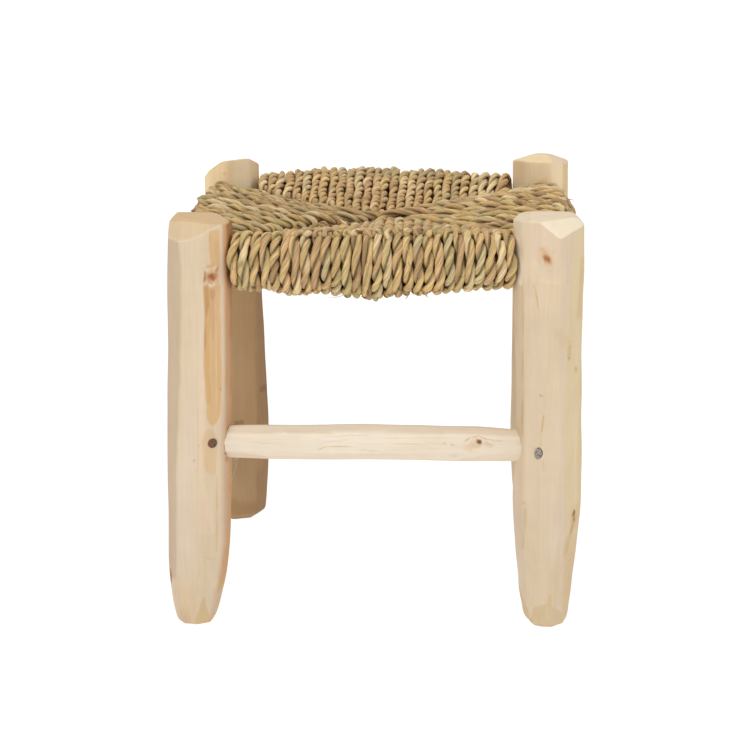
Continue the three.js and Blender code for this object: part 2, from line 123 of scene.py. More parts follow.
def paintPoints(piece, name, values):
    # stores a colour (a name that ends in Tint) or a vector for each point of the mesh
    if name.endswith("Tint"):
        values = np.hstack([values, np.ones((len(values), 1))])
        layer = piece.data.attributes.new(name, "FLOAT_COLOR", "POINT")
        layer.data.foreach_set("color", values.astype(np.float32).ravel())
    else:
        layer = piece.data.attributes.new(name, "FLOAT_VECTOR", "POINT")
        layer.data.foreach_set("vector", values.astype(np.float32).ravel())


def finishPiece(piece, material, nodeName):
    piece.data.materials.append(material)
    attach(piece, "root")
    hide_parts(nodeName)


def newMaterial(name):
    material = bpy.data.materials.new(name)
    material.use_nodes = True
    tree = material.node_tree
    return material, tree, tree.nodes["Principled BSDF"]


def node(tree, kind, **values):
    # adds a shader node; a value that is a socket is linked and a plain one is set. input0, input1
    # ... are sockets by number, and other lower-case names are settings of the node itself.
    made = tree.nodes.new(kind)
    for key, value in values.items():
        numbered = key.startswith("input")
        if key[0].islower() and not numbered:
            setattr(made, key, value)
            continue
        name = int(key.removeprefix("input")) if numbered else key.replace("_", " ")
        socket = made.inputs[name]
        if isinstance(value, bpy.types.NodeSocket):
            tree.links.new(value, socket)
        else:
            socket.default_value = value
    return made


def noiseAt(tree, place, scale, detail, roughness=0.5):
    kind = "ShaderNodeTexNoise"
    made = node(tree, kind, Vector=place, Scale=scale, Detail=detail, Roughness=roughness)
    return made.outputs[0]


def ranged(tree, value, low, high, toLow, toHigh, **settings):
    # stretches low..high to toLow..toHigh, and stops at both ends
    made = node(
        tree, "ShaderNodeMapRange", **settings, Value=value, From_Min=low, From_Max=high,
        To_Min=toLow, To_Max=toHigh)
    return made.outputs[0]


def mixed(tree, share, first, second, blend="MIX"):
    made = node(
        tree, "ShaderNodeMix", data_type="RGBA", blend_type=blend, input0=share, input6=first,
        input7=second)
    return made.outputs[2]


def reckoned(tree, operation, *values):
    sockets = {f"input{index}": value for index, value in enumerate(values)}
    return node(tree, "ShaderNodeMath", operation=operation, **sockets).outputs[0]


def brightened(tree, colour, share):
    kind = "ShaderNodeVectorMath"
    return node(tree, kind, operation="SCALE", input0=colour, Scale=share).outputs[0]


def addBump(tree, shader, height, strength, depth):
    bump = node(tree, "ShaderNodeBump", Strength=strength, Distance=depth, Height=height)
    tree.links.new(bump.outputs[0], shader.inputs["Normal"])


# Places and sizes in metres, angles in radians.
studio = {
    "cameraPlace": (0.064357, -2.15768, 0.75125), "cameraYaw": 0.0310197,
    "cameraPitch": 0.259739, "lens": 120.4, "film": 36,
    "skyLow": 0.34, "skyHigh": 1.2, "white": (1, 1, 1, 1),
    "floorHalf": 6, "floorDrop": 0.0003, "floorGrey": 0.12, "floorRoughness": 0.9,
    "floorGlow": 0.94,
    "lampAim": (0, 0, 0.18),
    "lamps": {  # place, width, power
        "key_light": [(-0.9, -2.2, 1.6), 1.6, 13], "fill_light": [(1.6, -1.2, 0.8), 1.4, 2.5],
    },
}


def softBox(name, place, width, power):
    # a round lamp that is turned to face the aim: its tilt is atan2(level distance, height)
    lamp = bpy.data.lights.new(name, "AREA")
    lamp.shape = "DISK"
    lamp.size = width
    lamp.energy = power
    body = newObject(name, lamp)
    body.location = place
    x, y, z = np.subtract(place, studio["lampAim"])
    body.rotation_euler = (math.atan2(math.hypot(x, y), z), 0, math.atan2(x, -y))


cameraData = bpy.data.cameras.new("photo_camera")
cameraData.lens = studio["lens"]
cameraData.sensor_width = studio["film"]
cameraBody = newObject("photo_camera", cameraData)
cameraBody.location = studio["cameraPlace"]
cameraBody.rotation_euler = (math.pi / 2 - studio["cameraPitch"], 0, studio["cameraYaw"])
bpy.context.scene.camera = cameraBody
bpy.context.scene.view_settings.view_transform = "Standard"

world = bpy.data.worlds.new("studio")
world.use_nodes = True
sky = world.node_tree
skyLight = sky.nodes["Background"]  # lights the stool, brighter from above
skyLight.inputs["Color"].default_value = studio["white"]
direction = node(sky, "ShaderNodeTexCoord").outputs["Generated"]
upward = node(sky, "ShaderNodeSeparateXYZ", Vector=direction).outputs["Z"]
glow = ranged(sky, upward, 0, 1, studio["skyLow"], studio["skyHigh"])
sky.links.new(glow, skyLight.inputs["Strength"])
backdrop = node(sky, "ShaderNodeBackground", Color=studio["white"], Strength=1)  # all white behind
seen = node(sky, "ShaderNodeLightPath").outputs["Is Camera Ray"]
either = node(
    sky, "ShaderNodeMixShader", input0=seen, input1=skyLight.outputs[0],
    input2=backdrop.outputs[0])
sky.links.new(either.outputs[0], sky.nodes["World Output"].inputs["Surface"])
bpy.context.scene.world = world
for name, lamp in studio["lamps"].items():
    softBox(name, *lamp)

floorMesh = bpy.data.meshes.new("floor")
edge = studio["floorHalf"]
floorMesh.from_pydata(
    [(x * edge, y * edge, -studio["floorDrop"]) for x, y in ((-1, -1), (1, -1), (1, 1), (-1, 1))],
    [], [(0, 1, 2, 3)])
floor = newObject("floor", floorMesh)
floorPaint, tree, shader = newMaterial("pale_floor")
shader.inputs["Base Color"].default_value = (*[studio["floorGrey"]] * 3, 1)
shader.inputs["Roughness"].default_value = studio["floorRoughness"]
shader.inputs["Emission Color"].default_value = studio["white"]
shader.inputs["Emission Strength"].default_value = studio["floorGlow"]
floorMesh.materials.append(floorPaint)
print("camera and studio ready")


woodTones = {
    "cream": (222, 202, 177), "yellow": (221, 200, 160), "pink": (226, 203, 175),
    "grey": (201, 179, 151), "lightGrey": (215, 194, 168), "roseGrey": (200, 172, 148),
    "tan": (214, 186, 144), "sand": (211, 184, 138), "orange": (217, 178, 126),
    "peach": (217, 182, 140), "amber": (208, 166, 112), "deep": (190, 142, 94),
    "clay": (190, 142, 108), "ochre": (204, 174, 120), "bright": (243, 229, 203),
    "pale": (232, 214, 186), "rust": (172, 104, 60), "brown": (120, 78, 52), "dark": (62, 42, 30),
    "umber": (176, 142, 102), "edge": (206, 154, 100), "bark": (160, 102, 62),
    "biscuit": (220, 193, 155), "straw": (243, 215, 169), "crown": (210, 179, 136),
    "shade": (152, 116, 76), "linen": (219, 198, 168),
}
woodColours = {name: light(*tone) for name, tone in woodTones.items()}

# Scales are in waves per metre, shares multiply the tint, and lengths are in millimetres.
shavedWood = {
    "bandScale": 75, "fibreScale": 460, "spotScale": 38, "mouthScale": 160,
    "bandTone": (0.98, 0.963, 0.93, 1), "fibreShare": (0.955, 1.04), "spotShare": (0.97, 1.03),
    "roughness": (0.58, 0.74), "gloss": 0.28, "bandHeight": 1.5, "bump": 0.3, "bumpDepth": 0.2,
    "mouthWander": 1.6,
}


def makeWood(name, holes=(), axis=(1, 1, 0.045)):
    # bare shaved wood: the painted tint, times long soft bands and fine fibres that run along the
    # piece, and soft spots. The mouth of each hole is dark up to the inner distance from its
    # centre and clean from the outer one; the mask squashes that distance along x, y and z.
    material, tree, shader = newMaterial(name)
    tint = node(tree, "ShaderNodeAttribute", attribute_name="woodTint").outputs["Color"]
    place = node(tree, "ShaderNodeTexCoord").outputs["Object"]
    alongGrain = node(tree, "ShaderNodeMapping", Vector=place, Scale=axis).outputs[0]
    bands = noiseAt(tree, alongGrain, shavedWood["bandScale"], 3)
    fibres = noiseAt(tree, alongGrain, shavedWood["fibreScale"], 4, 0.6)
    spots = noiseAt(tree, place, shavedWood["spotScale"], 3, 0.6)
    banded = ranged(tree, bands, 0.32, 0.68, 0, 1)
    toned = mixed(tree, banded, tint, shavedWood["bandTone"], "MULTIPLY")
    streaked = ranged(tree, fibres, 0.25, 0.75, *shavedWood["fibreShare"])
    spotted = ranged(tree, spots, 0.3, 0.7, *shavedWood["spotShare"])
    colour = brightened(tree, toned, reckoned(tree, "MULTIPLY", streaked, spotted))
    wander = shavedWood["mouthWander"]
    kind = "ShaderNodeVectorMath"
    for centre, mask, inner, outer, tone in holes:
        middle = [value * mm for value in centre]
        away = node(tree, kind, operation="SUBTRACT", input0=place, input1=middle).outputs[0]
        flat = node(tree, kind, operation="MULTIPLY", input0=away, input1=mask).outputs[0]
        reach = node(tree, kind, operation="LENGTH", input0=flat).outputs["Value"]
        wobble = noiseAt(tree, place, shavedWood["mouthScale"], 2)
        edge = reckoned(tree, "MULTIPLY_ADD", wobble, wander * mm, reach)
        ring = ranged(
            tree, edge, (inner + wander / 2) * mm, (outer + wander / 2) * mm, 1, 0,
            interpolation_type="SMOOTHSTEP")
        colour = mixed(tree, ring, colour, (*tone, 1))
    tree.links.new(colour, shader.inputs["Base Color"])
    rough = ranged(tree, bands, 0.3, 0.7, *shavedWood["roughness"])
    tree.links.new(rough, shader.inputs["Roughness"])
    shader.inputs["Specular IOR Level"].default_value = shavedWood["gloss"]
    height = reckoned(tree, "MULTIPLY_ADD", bands, shavedWood["bandHeight"], fibres)
    addBump(tree, shader, height, shavedWood["bump"], shavedWood["bumpDepth"] * mm)
    return material


stool = {"height": 352, "railOffset": 143, "railHeight": 311}

# How a leg or a pole is finished, in millimetres. The corner blur is [degrees, weight], ripples are
# [wavelength, squash along a leg], and stations are eased over a share of the height above the
# floor, up to the most. Crowding gathers points on the front, and the pole's ease is a share of it.
shaving = {
    "cornerBlur": [(-4.5, 0.15), (-2.2, 0.22), (0, 0.26), (2.2, 0.22), (4.5, 0.15)],
    "easeShare": 0.25, "easeMost": 7, "ripples": [(17, 0.35), (60, 0.5)], "rippleDepth": 0.16,
    "evenFoot": 12, "crease": 0.6, "rounding": 1.9, "knotSwell": 0.5, "knotReach": 2.4,
    "crowding": 0.42, "poleEase": 0.012, "poleRipple": 0.25, "poleFacets": 10,
}

# The outline's corners are [degrees, share of half the thickness], the stations [height, girth,
# shift x, shift y] in shares of the stool's height and the leg's thickness, trims [degrees, half
# width in degrees, height, half height, depth], and the knife cuts at the top [falls toward
# degrees, slope, crest as a share of half the thickness, colour, strength]; the crown is the
# colour of the level top. Bands are [degrees, half width in degrees, colour, strength]. Strips
# lie on the front and reach round to its sides as [colour, strength, softness, [height, left,
# right]...], and marks lie on the front as [kind, x, z, half width, half height, tilt in degrees,
# colour, strength], all in millimetres. Holes are [centre, mask, inner, outer, colour] for
# makeWood. Each leg's mesh has the stated number of points around and rings up.
frontLeftLeg = {
    "side": -1, "row": -1, "thickness": 54.5, "top": 0.995, "around": 236, "up": 310, "seed": 3,
    "crown": ["crown", 0.9],
    "edges": [
        [10, 1], [52, 1.01], [98, 0.99], [143, 1], [190, 1], [235, 1.02], [281, 1], [326, 1.03],
    ],
    "stations": [
        [0, 0.52, -0.147, -0.06], [0.0085, 0.61, -0.14, -0.06], [0.023, 0.67, -0.133, -0.06],
        [0.048, 0.754, -0.127, -0.058], [0.076, 0.81, -0.118, -0.055], [0.102, 0.88, -0.107, -0.05],
        [0.15, 0.952, -0.093, -0.045], [0.204, 0.982, -0.07, -0.04], [0.26, 0.995, -0.06, -0.035],
        [0.425, 1, -0.045, -0.03], [0.58, 0.99, -0.026, -0.015], [0.68, 0.98, -0.012, -0.005],
        [0.8, 1, -0.004, 0], [0.91, 0.982, 0.018, 0], [0.942, 0.982, 0.022, 0],
        [0.972, 0.965, 0.026, 0.035], [1, 0.92, 0.03, 0.07],
    ],
    "cuts": [
        [180, 62, 0.78, "crown", 0.8], [188, 30, 0.6, "crown", 0.8], [350, 10, 0.1, "crown", 0.9],
        [90, 20, 0.5, "tan", 0.8], [22, 34, 0.62, "bark", 0.75],
    ],
    "bands": [
        [345, 24, "clay", 0.5], [25, 16, "tan", 0.5], [60, 20, "cream", 0.5],
        [95, 18, "yellow", 0.6], [120, 14, "pink", 0.6], [160, 22, "grey", 0.5],
    ],
    "strips": [
        ["grey", 0.85, 1.4, [40, -190, -165.2], [60, -190, -164.6], [78, -190, -164.2],
         [139, -190, -163], [182, -190, -160.4], [217, -190, -158.1], [259, -190, -156.4],
         [309, -190, -155.4], [334, -190, -157.4]],
        ["roseGrey", 0.6, 2.4, [44, -190, -169.5], [334, -190, -166.8]],
        ["yellow", 0.2, 1.8, [78, -164.2, -160], [139, -163, -158.5], [182, -160.4, -156.5],
         [217, -158.1, -154.5], [259, -156.4, -153], [312, -155.4, -152]],
        ["pink", 0.7, 0.7, [84, -145, -130], [130, -144.4, -139.5], [176, -143.8, -136.5],
         [200, -143.4, -136.5], [235, -143.2, -137.5]],
        ["sand", 0.35, 0.3, [84, -145.6, -144.8], [130, -144.9, -144.1], [200, -143.9, -143.1],
         [290, -143.2, -142.5]],
        ["orange", 0.5, 1, [292, -136.9, -124.4], [314, -134, -124.4]],
        ["orange", 0.93, 0.7, [176.8, -132.6, -131.2], [180, -134.8, -128.6], [186, -136.2, -126.2],
         [200, -136.4, -124.8], [212, -136.9, -124.5], [230, -137.9, -124.3], [262, -136.8, -124.3],
         [294.5, -136.9, -124.4]],
        ["amber", 0.6, 0.8, [196, -136.6, -133.2], [230, -138, -133.8], [266, -137, -133.2]],
        ["peach", 0.7, 1, [186, -131, -129], [226, -132, -127], [294, -132.6, -127]],
        ["clay", 0.3, 1.4, [250, -130.6, -129.6], [270, -132.8, -127.6], [294, -132.6, -128]],
        ["deep", 0.75, 0.9, [240, -137.4, -137], [266, -136.8, -135.2], [280, -136.9, -132.8],
         [296, -137, -133.6]],
        ["amber", 0.5, 0.3, [208, -127.2, -126.6], [262, -126.9, -126.2]],
        ["amber", 0.4, 0.3, [214, -131.4, -131], [286, -130.6, -130.2]],
        ["pale", 0.3, 0.4, [190, -129, -128.2], [280, -128.6, -127.8]],
        ["orange", 0.85, 0.8, [312, -130.6, -124.3], [319, -132, -124.1], [341.5, -132.5, -124.2]],
        ["pale", 0.12, 0.9, [180, -124, -119.8], [330, -124, -119.4]],
        ["edge", 0.78, 1.4, [30, -131, -90], [46, -128, -90], [70, -123.4, -90], [100, -121.6, -90],
         [150, -121, -90], [200, -120.8, -90], [300, -121, -90], [338, -121.8, -90],
         [349, -122.5, -90]],
        ["bark", 0.6, 1, [60, -119, -90], [100, -118.2, -90], [240, -118.2, -90],
         [330, -118.2, -90], [349, -119.5, -90]],
        ["orange", 0.5, 0.9, [133.8, -132.5, -129.6], [137.5, -137.2, -129.4],
         [142, -139.6, -129.2], [166, -140, -129], [171, -138.5, -130.5], [175, -137, -132]],
        ["ochre", 0.6, 0.5, [66.7, -131.2, -130.2], [100, -130.4, -129], [133, -129.8, -128.8]],
        ["peach", 0.35, 5, [-4, -165, -146], [40, -168, -148]],
        ["ochre", 0.6, 1.2, [-3, -152, -137.2], [8, -149.3, -138], [15, -146.5, -139.6],
         [27.5, -142.1, -141.5]],
        ["orange", 0.5, 1.4, [-3, -146, -132], [2, -144, -132.4], [7, -141.5, -135]],
        ["clay", 0.3, 3.4, [-6, -163, -152], [12, -164, -155]],
        ["ochre", 0.5, 1, [4, -135.8, -132.4], [22, -131.6, -128.4], [34, -128.2, -126.6]],
    ],
    "shoulder": {
        "face": ["biscuit", 0.9], "rim": ["pale", 0.7],
        "edge": [
            [-190, 332], [-163, 333], [-155, 332.6], [-147.5, 334], [-139, 338.6], [-132, 342],
            [-126, 344.2], [-120, 346.5], [-100, 348],
        ],
    },
    "marks": [
        ["patch", -171.2, 39.5, 1.5, 6.5, -4, "bark", 0.8],
        ["patch", -131.6, 334.5, 1, 5, 0, "amber", 0.4],
        ["patch", -127, 327, 1.2, 9, 0, "amber", 0.35],
        ["knot", -130.7, 303.6, 4.2, 5, 28, "rust", 0.95],
        ["patch", -134.2, 309.6, 2.4, 1.2, 35, "pale", 0.55],
        ["patch", -128.2, 311.2, 1.8, 1, 40, "pale", 0.4],
        ["patch", -130.9, 296.4, 3, 1.7, 4, "pale", 0.6],
        ["patch", -128.6, 303, 2.2, 3.4, -30, "rust", 0.7],
        ["line", -133.2, 300.6, 0.6, 4.4, 40, "bark", 0.75],
        ["line", -126.6, 309.4, 0.5, 3.2, -35, "bark", 0.7],
        ["line", -131.8, 312.2, 2.8, 0.6, 14, "deep", 0.7],
        # painted shadows at the top and the bottom of the front stretcher's mouth
        ["patch", -118.8, 171.6, 2.4, 1.5, 20, "dark", 0.75],
        ["patch", -121.4, 152, 1.6, 1.4, 0, "brown", 0.8],
        ["patch", -130.4, 298, 0.7, 0.5, 0, "rust", 0.6],
        ["patch", -136, 303.5, 0.9, 5.4, -4, "bark", 0.75],
        ["patch", -127, 306.8, 1.2, 3.4, -20, "deep", 0.7],
        ["patch", -130.4, 288.6, 2.6, 4.6, 0, "clay", 0.5],
        ["patch", -125.3, 207.6, 0.8, 1.2, 0, "deep", 0.6],
        ["patch", -143.4, 161.3, 1, 0.9, 0, "ochre", 0.7],
        ["patch", -147.3, 148.2, 1.2, 0.9, 0, "clay", 0.5],
        ["patch", -146.3, 139.5, 0.9, 0.9, 0, "ochre", 0.6],
        ["line", -136.3, 61.5, 0.55, 3.9, 44, "ochre", 0.8],
        ["line", -132.2, 60.6, 0.5, 2.2, -42, "ochre", 0.6],
        ["patch", -157.8, 20.6, 0.7, 2, 30, "ochre", 0.6],
        ["patch", -145, 51, 1, 8, -8, "ochre", 0.25],
        # painted shadow under the front stretcher
        ["patch", -120.8, 146.4, 2.2, 2.8, 0, "umber", 0.7],
        ["patch", -119.2, 117.2, 1.4, 1.8, 0, "brown", 0.4],
        ["patch", -119.4, 105.8, 1.1, 1.3, 0, "brown", 0.6],
        ["patch", -136, 88, 1.2, 1.2, 0, "ochre", 0.25],
    ],
    "holes": [
        [(-119, -148, 158.5), (0.4, 1, 1), 12.7, 13.6, "umber"],
        [(-146, -120, 80), (1, 0.4, 1), 12.8, 13.8, "brown"],
        [(-132.43, -166, 162.3), (1.06, 0.4, 1), 3.7, 4.5, "brown"],
        [(-168.9, -133.7, 83), (0.4, 1, 1), 3.8, 4.8, "brown"],
    ],
}

frontRightLeg = {
    "side": 1, "row": -1, "thickness": 57.2, "top": 1, "around": 236, "up": 310, "seed": 8,
    "crown": ["pale", 0.9],
    "trims": [[180, 34, 205, 62, -1.7], [180, 30, 112, 30, 1.9]],
    "edges": [
        [27, 1], [67, 0.98], [107, 1], [147, 0.96], [187, 0.96], [227, 1.01], [258, 0.965],
        [288, 1.02], [347, 1.04],
    ],
    "stations": [
        [0, 0.45, 0.08, -0.01], [0.007, 0.54, 0.075, -0.03], [0.017, 0.62, 0.06, -0.05],
        [0.031, 0.68, 0.05, -0.054], [0.057, 0.715, 0.047, -0.054], [0.082, 0.785, 0.036, -0.05],
        [0.133, 0.827, 0.039, -0.048], [0.184, 0.9, 0.041, -0.045], [0.258, 0.97, 0.045, -0.04],
        [0.309, 0.997, 0.053, -0.035], [0.433, 1.005, 0.048, -0.03], [0.58, 1, 0.032, -0.015],
        [0.7, 1.009, 0.008, -0.005], [0.82, 1.03, 0.004, 0], [0.87, 1.044, 0.006, 0],
        [1, 1.04, -0.004, 0],
    ],
    "cuts": [
        [305, 52, 0.66, "bright", 0.95], [180, 10, 0.5, "pale", 0.5], [5, 38, 0.76, "bright", 0.7],
        [90, 10, 0.5, "pale", 0.5],
    ],
    "bands": [
        [25, 16, "tan", 0.6], [60, 20, "cream", 0.5], [95, 18, "pink", 0.6],
        [130, 16, "yellow", 0.6], [170, 20, "lightGrey", 0.5],
    ],
    "strips": [
        ["pink", 0.6, 4, [275, 124, 150], [300, 122, 158], [330, 122, 156], [352, 122, 148]],
        ["yellow", 0.75, 2.2, [86, 161, 200], [116, 159.5, 200], [189, 157.5, 200], [260, 159, 200],
         [300, 163, 200], [346, 166, 200]],
        ["lightGrey", 0.9, 1.7, [45, 90, 121.5], [75, 90, 126.6], [108, 90, 126], [165, 90, 124.3],
         [202, 90, 124], [286, 90, 123], [310, 90, 122.4], [336, 90, 121]],
        ["sand", 0.5, 1.6, [228, 90, 116.6], [262, 90, 118.6], [292, 90, 119.2]],
        ["pink", 0.4, 1.8, [120, 117, 121.8], [200, 116.5, 121.6], [250, 118, 121]],
        ["ochre", 0.75, 0.35, [168, 123.9, 124.8], [202, 123.7, 124.6], [286, 122.6, 123.6],
         [310, 121.9, 122.7]],
        # a pale chip, painted brighter still: painted light against the rope's shade on the leg
        ["bright", 0.95, 0.8, [296, 117, 122.4], [300, 114.6, 123], [312, 112, 122.4],
         [322, 110.2, 121], [336, 108, 119.4]],
        ["pale", 0.6, 2, [322, 100, 122], [350, 100, 123]],
        ["sand", 0.5, 1.8, [30, 166, 200], [80, 170.4, 200], [130, 171.6, 200], [200, 170.6, 200],
         [300, 171.4, 200], [345, 172.6, 200]],
        ["ochre", 0.5, 1.6, [268, 167.6, 171.4], [290, 168.6, 172], [320, 170, 173]],
        ["rust", 0.75, 0.3, [175.5, 139.2, 140], [180, 139.9, 140.9], [186, 140.6, 141.3],
         [189.5, 141.1, 141.5]],
        ["ochre", 0.55, 0.4, [161, 139.2, 139.9], [176, 139.2, 140]],
        ["clay", 0.8, 0.35, [184, 141.8, 142.2], [203, 142.4, 142.8]],
        ["ochre", 0.55, 0.5, [72, 126, 126.8], [90, 126.9, 128.2], [108, 127, 128.4]],
        ["ochre", 0.6, 1.4, [66, 160, 163.5], [80, 163, 167], [90, 165.4, 169.5], [99, 167.4, 171]],
        ["tan", 0.55, 1.6, [8, 160.3, 200], [33, 160.7, 200], [71, 159.9, 200], [82, 161.5, 200]],
        ["ochre", 0.6, 0.9, [3, 132, 137.4], [12, 126.5, 132.2], [25, 120, 127.4],
         [42.5, 112, 121.6]],
        ["ochre", 0.42, 1, [-3, 133, 163], [6, 133.6, 161.4], [13, 134.6, 160.7],
         [17.6, 135.5, 155.3], [19.6, 136.4, 153.6], [25, 147.6, 149.4]],
        ["sand", 0.3, 3, [20, 146, 158], [66, 147, 158]],
    ],
    "marks": [
        ["patch", 141.6, 321.8, 3.4, 7.6, 28, "orange", 0.75],
        ["knot", 141.9, 321.4, 2.9, 5.4, 28, "rust", 0.95],
        ["patch", 137.8, 329, 1.8, 1.5, 0, "ochre", 0.6],
        ["line", 147.8, 327.6, 0.4, 2.6, -60, "ochre", 0.6],
        ["patch", 134.5, 313, 2.2, 9, 30, "pale", 0.3],
        ["patch", 146, 302, 9, 2.2, -8, "pale", 0.35], ["patch", 128, 296, 5, 9, 0, "grey", 0.25],
        ["patch", 147, 294, 4.6, 8.5, 8, "yellow", 0.5],
        ["line", 134.4, 286.6, 0.8, 10.5, 9, "ochre", 0.9],
        ["patch", 131.6, 298.6, 0.9, 1.6, 0, "ochre", 0.4],
        ["line", 159.4, 306, 0.5, 8, -2, "ochre", 0.4],
        ["patch", 155.8, 255, 4.6, 10, 34, "sand", 0.3],
        ["patch", 161.8, 241.6, 2, 7.5, -2, "ochre", 0.6],
        ["patch", 161.6, 236, 1.1, 0.8, 0, "deep", 0.7],
        ["patch", 161.8, 250.6, 2.4, 0.6, 0, "ochre", 0.4],
        ["patch", 165.6, 234.2, 0.8, 0.7, 0, "deep", 0.3],
        ["patch", 167.8, 225.4, 1.2, 2.6, 10, "ochre", 0.8],
        ["patch", 138.8, 206.6, 1.2, 0.7, 0, "bark", 0.7],
        ["patch", 140.8, 206, 0.6, 0.6, 0, "bark", 0.5],
        ["patch", 140.6, 180, 3.2, 12, 0, "yellow", 0.5],
        ["patch", 141.6, 147.5, 1.6, 5, 8, "clay", 0.18],
        ["knot", 168.4, 101.6, 1.9, 4, -8, "bark", 0.95],
        ["patch", 168.7, 96.8, 0.9, 3, 0, "brown", 0.55],
        ["line", 167.2, 88, 0.8, 7, -12, "umber", 0.6],
        ["patch", 126.6, 112.6, 1.6, 0.9, 0, "clay", 0.4],
        ["patch", 149.6, 28, 1.6, 4.5, 0, "ochre", 0.5],
    ],
    "holes": [
        [(116, -148, 157.4), (0.4, 1, 1), 12.6, 13.5, "umber"],
        [(146, -120, 80), (1, 0.4, 1), 12.8, 13.8, "brown"],
        [(138, -170.6, 157.5), (1.2, 0.4, 0.86), 3.6, 4.2, "dark"],
        [(169, -134.4, 83), (0.4, 1, 1), 3.8, 4.8, "brown"],
    ],
}

backLeftLeg = {
    "side": -1, "row": 1, "thickness": 54, "top": 0.997, "around": 170, "up": 250, "seed": 15,
    "crown": ["straw", 0.7],
    "trims": [[0, 34, 110, 80, 1.3]],
    "edges": [
        [0, 1.02], [42, 1], [86, 0.98], [130, 1], [178, 0.95], [222, 0.98], [268, 0.98],
        [318, 1.03],
    ],
    "stations": [
        [0, 0.55, 0.045, 0.02], [0.007, 0.81, 0.043, 0.02], [0.014, 0.99, 0.042, 0.02],
        [0.022, 1.04, 0.042, 0.02], [0.057, 1.08, 0.045, 0.02], [0.125, 1.11, 0.055, 0.016],
        [0.28, 1.1, 0.055, 0.014], [0.4, 1.055, 0.05, 0.014], [0.48, 1.037, 0.047, 0.012],
        [0.6, 1.004, 0.038, 0.01], [0.92, 0.969, 0.03, 0], [1, 0.96, 0.03, 0],
    ],
    "cuts": [
        [160, 36, -0.26, "tan", 0.6], [125, 16, -1, "tan", 0.6], [40, 24, 0.08, "tan", 0.6],
        [5, 60, 0.87, "orange", 0.7],
    ],
    "bands": [
        # the umber bands at 320 and 345 degrees are painted shade on the faces turned to the front
        # and the right
        [205, 24, "grey", 0.5], [250, 40, "tan", 0.55], [320, 25, "umber", 0.5],
        [345, 20, "umber", 0.5], [40, 24, "pink", 0.5], [80, 20, "cream", 0.5],
        [118, 18, "yellow", 0.5], [150, 14, "pink", 0.5],
    ],
    "strips": [
        ["straw", 0.95, 9, [290, -190, -90], [380, -190, -90]],
        # painted shade: the umber strip darkens the leg below the seat, and the shade strip its
        # right edge
        ["umber", 0.9, 12, [-40, -190, -90], [288, -190, -90]],
        ["shade", 0.75, 2.4, [-19, -120, -90], [120, -118, -90], [280, -119, -90]],
        # painted light: the bright strip lightens the right part of the top, so that its facets
        # look evenly lit
        ["bright", 0.5, 4, [300, -138, -90], [380, -138, -90]],
        ["amber", 0.3, 1.6, [300, -117.5, -90], [362, -117.8, -90]],
    ],
    "marks": [
        ["patch", -112, 127, 4, 3.4, 0, "brown", 0.45],
        # painted shadow at the top of the left stretcher's joint
        ["patch", -134, 98.5, 4.4, 2.4, 0, "brown", 0.6],
        # painted shade: the shade patch darkens the low facet of the foot
        ["patch", -134, 4, 20, 17, -22, "shade", 0.6], ["patch", -126, 74, 9, 26, 20, "umber", 0.5],
        ["patch", -131.5, 340, 2.4, 1.6, 0, "pale", 0.35],
        ["patch", -145, 337, 1.6, 1.6, 0, "clay", 0.3],
    ],
    "holes": [
        [(-146, 118, 80), (1, 0.4, 1), 12.8, 13.8, "brown"],
        [(-164.5, 130.9, 83), (0.4, 1, 1), 3.8, 4.8, "brown"],
    ],
}

backRightLeg = {
    "side": 1, "row": 1, "thickness": 54, "top": 0.9935, "around": 170, "up": 250, "seed": 21,
    "crown": ["straw", 0.7],
    "trims": [[180, 40, 175, 95, -2.2]],
    "edges": [
        [20, 1.03], [64, 1], [110, 0.99], [155, 1], [200, 1.03], [245, 1], [290, 1], [335, 1.05],
    ],
    "stations": [
        [0, 0.46, 0.08, 0.06], [0.008, 0.6, 0.08, 0.06], [0.028, 0.71, 0.08, 0.058],
        [0.062, 0.81, 0.078, 0.055], [0.113, 0.89, 0.075, 0.05], [0.17, 0.95, 0.072, 0.045],
        [0.26, 0.985, 0.07, 0.04], [0.43, 1, 0.066, 0.03], [0.7, 1, 0.062, 0.01],
        [0.93, 0.99, 0.06, 0], [1, 0.985, 0.06, 0],
    ],
    "cuts": [[150, 20, 0.4, "pink", 0.7], [5, 12, 0.44, "pink", 0.7]],
    "bands": [
        [212, 22, "tan", 0.5], [250, 18, "pink", 0.6], [290, 20, "tan", 0.5],
        [335, 20, "ochre", 0.5], [20, 20, "grey", 0.5], [60, 20, "cream", 0.5],
        [100, 18, "yellow", 0.5], [140, 18, "pink", 0.6],
    ],
    "strips": [
        ["lightGrey", 0.5, 3, [-20, 90, 136], [276, 90, 136]],
        ["straw", 0.85, 9, [290, 90, 200], [380, 90, 200]],
        ["bright", 0.35, 4, [280, 90, 200], [362, 90, 200]],
        ["tan", 0.3, 1.4, [280, 90, 131], [362, 90, 131]],
        ["sand", 0.7, 1.2, [280, 166.2, 200], [355, 166.6, 200]],
    ],
    "marks": [["patch", 150, 328, 5, 8, 0, "clay", 0.15]],
    "holes": [
        [(146, 121, 80), (1, 0.4, 1), 12.8, 13.8, "brown"],
        [(171, 135, 83), (0.4, 1, 1), 3.8, 4.8, "brown"],
    ],
}


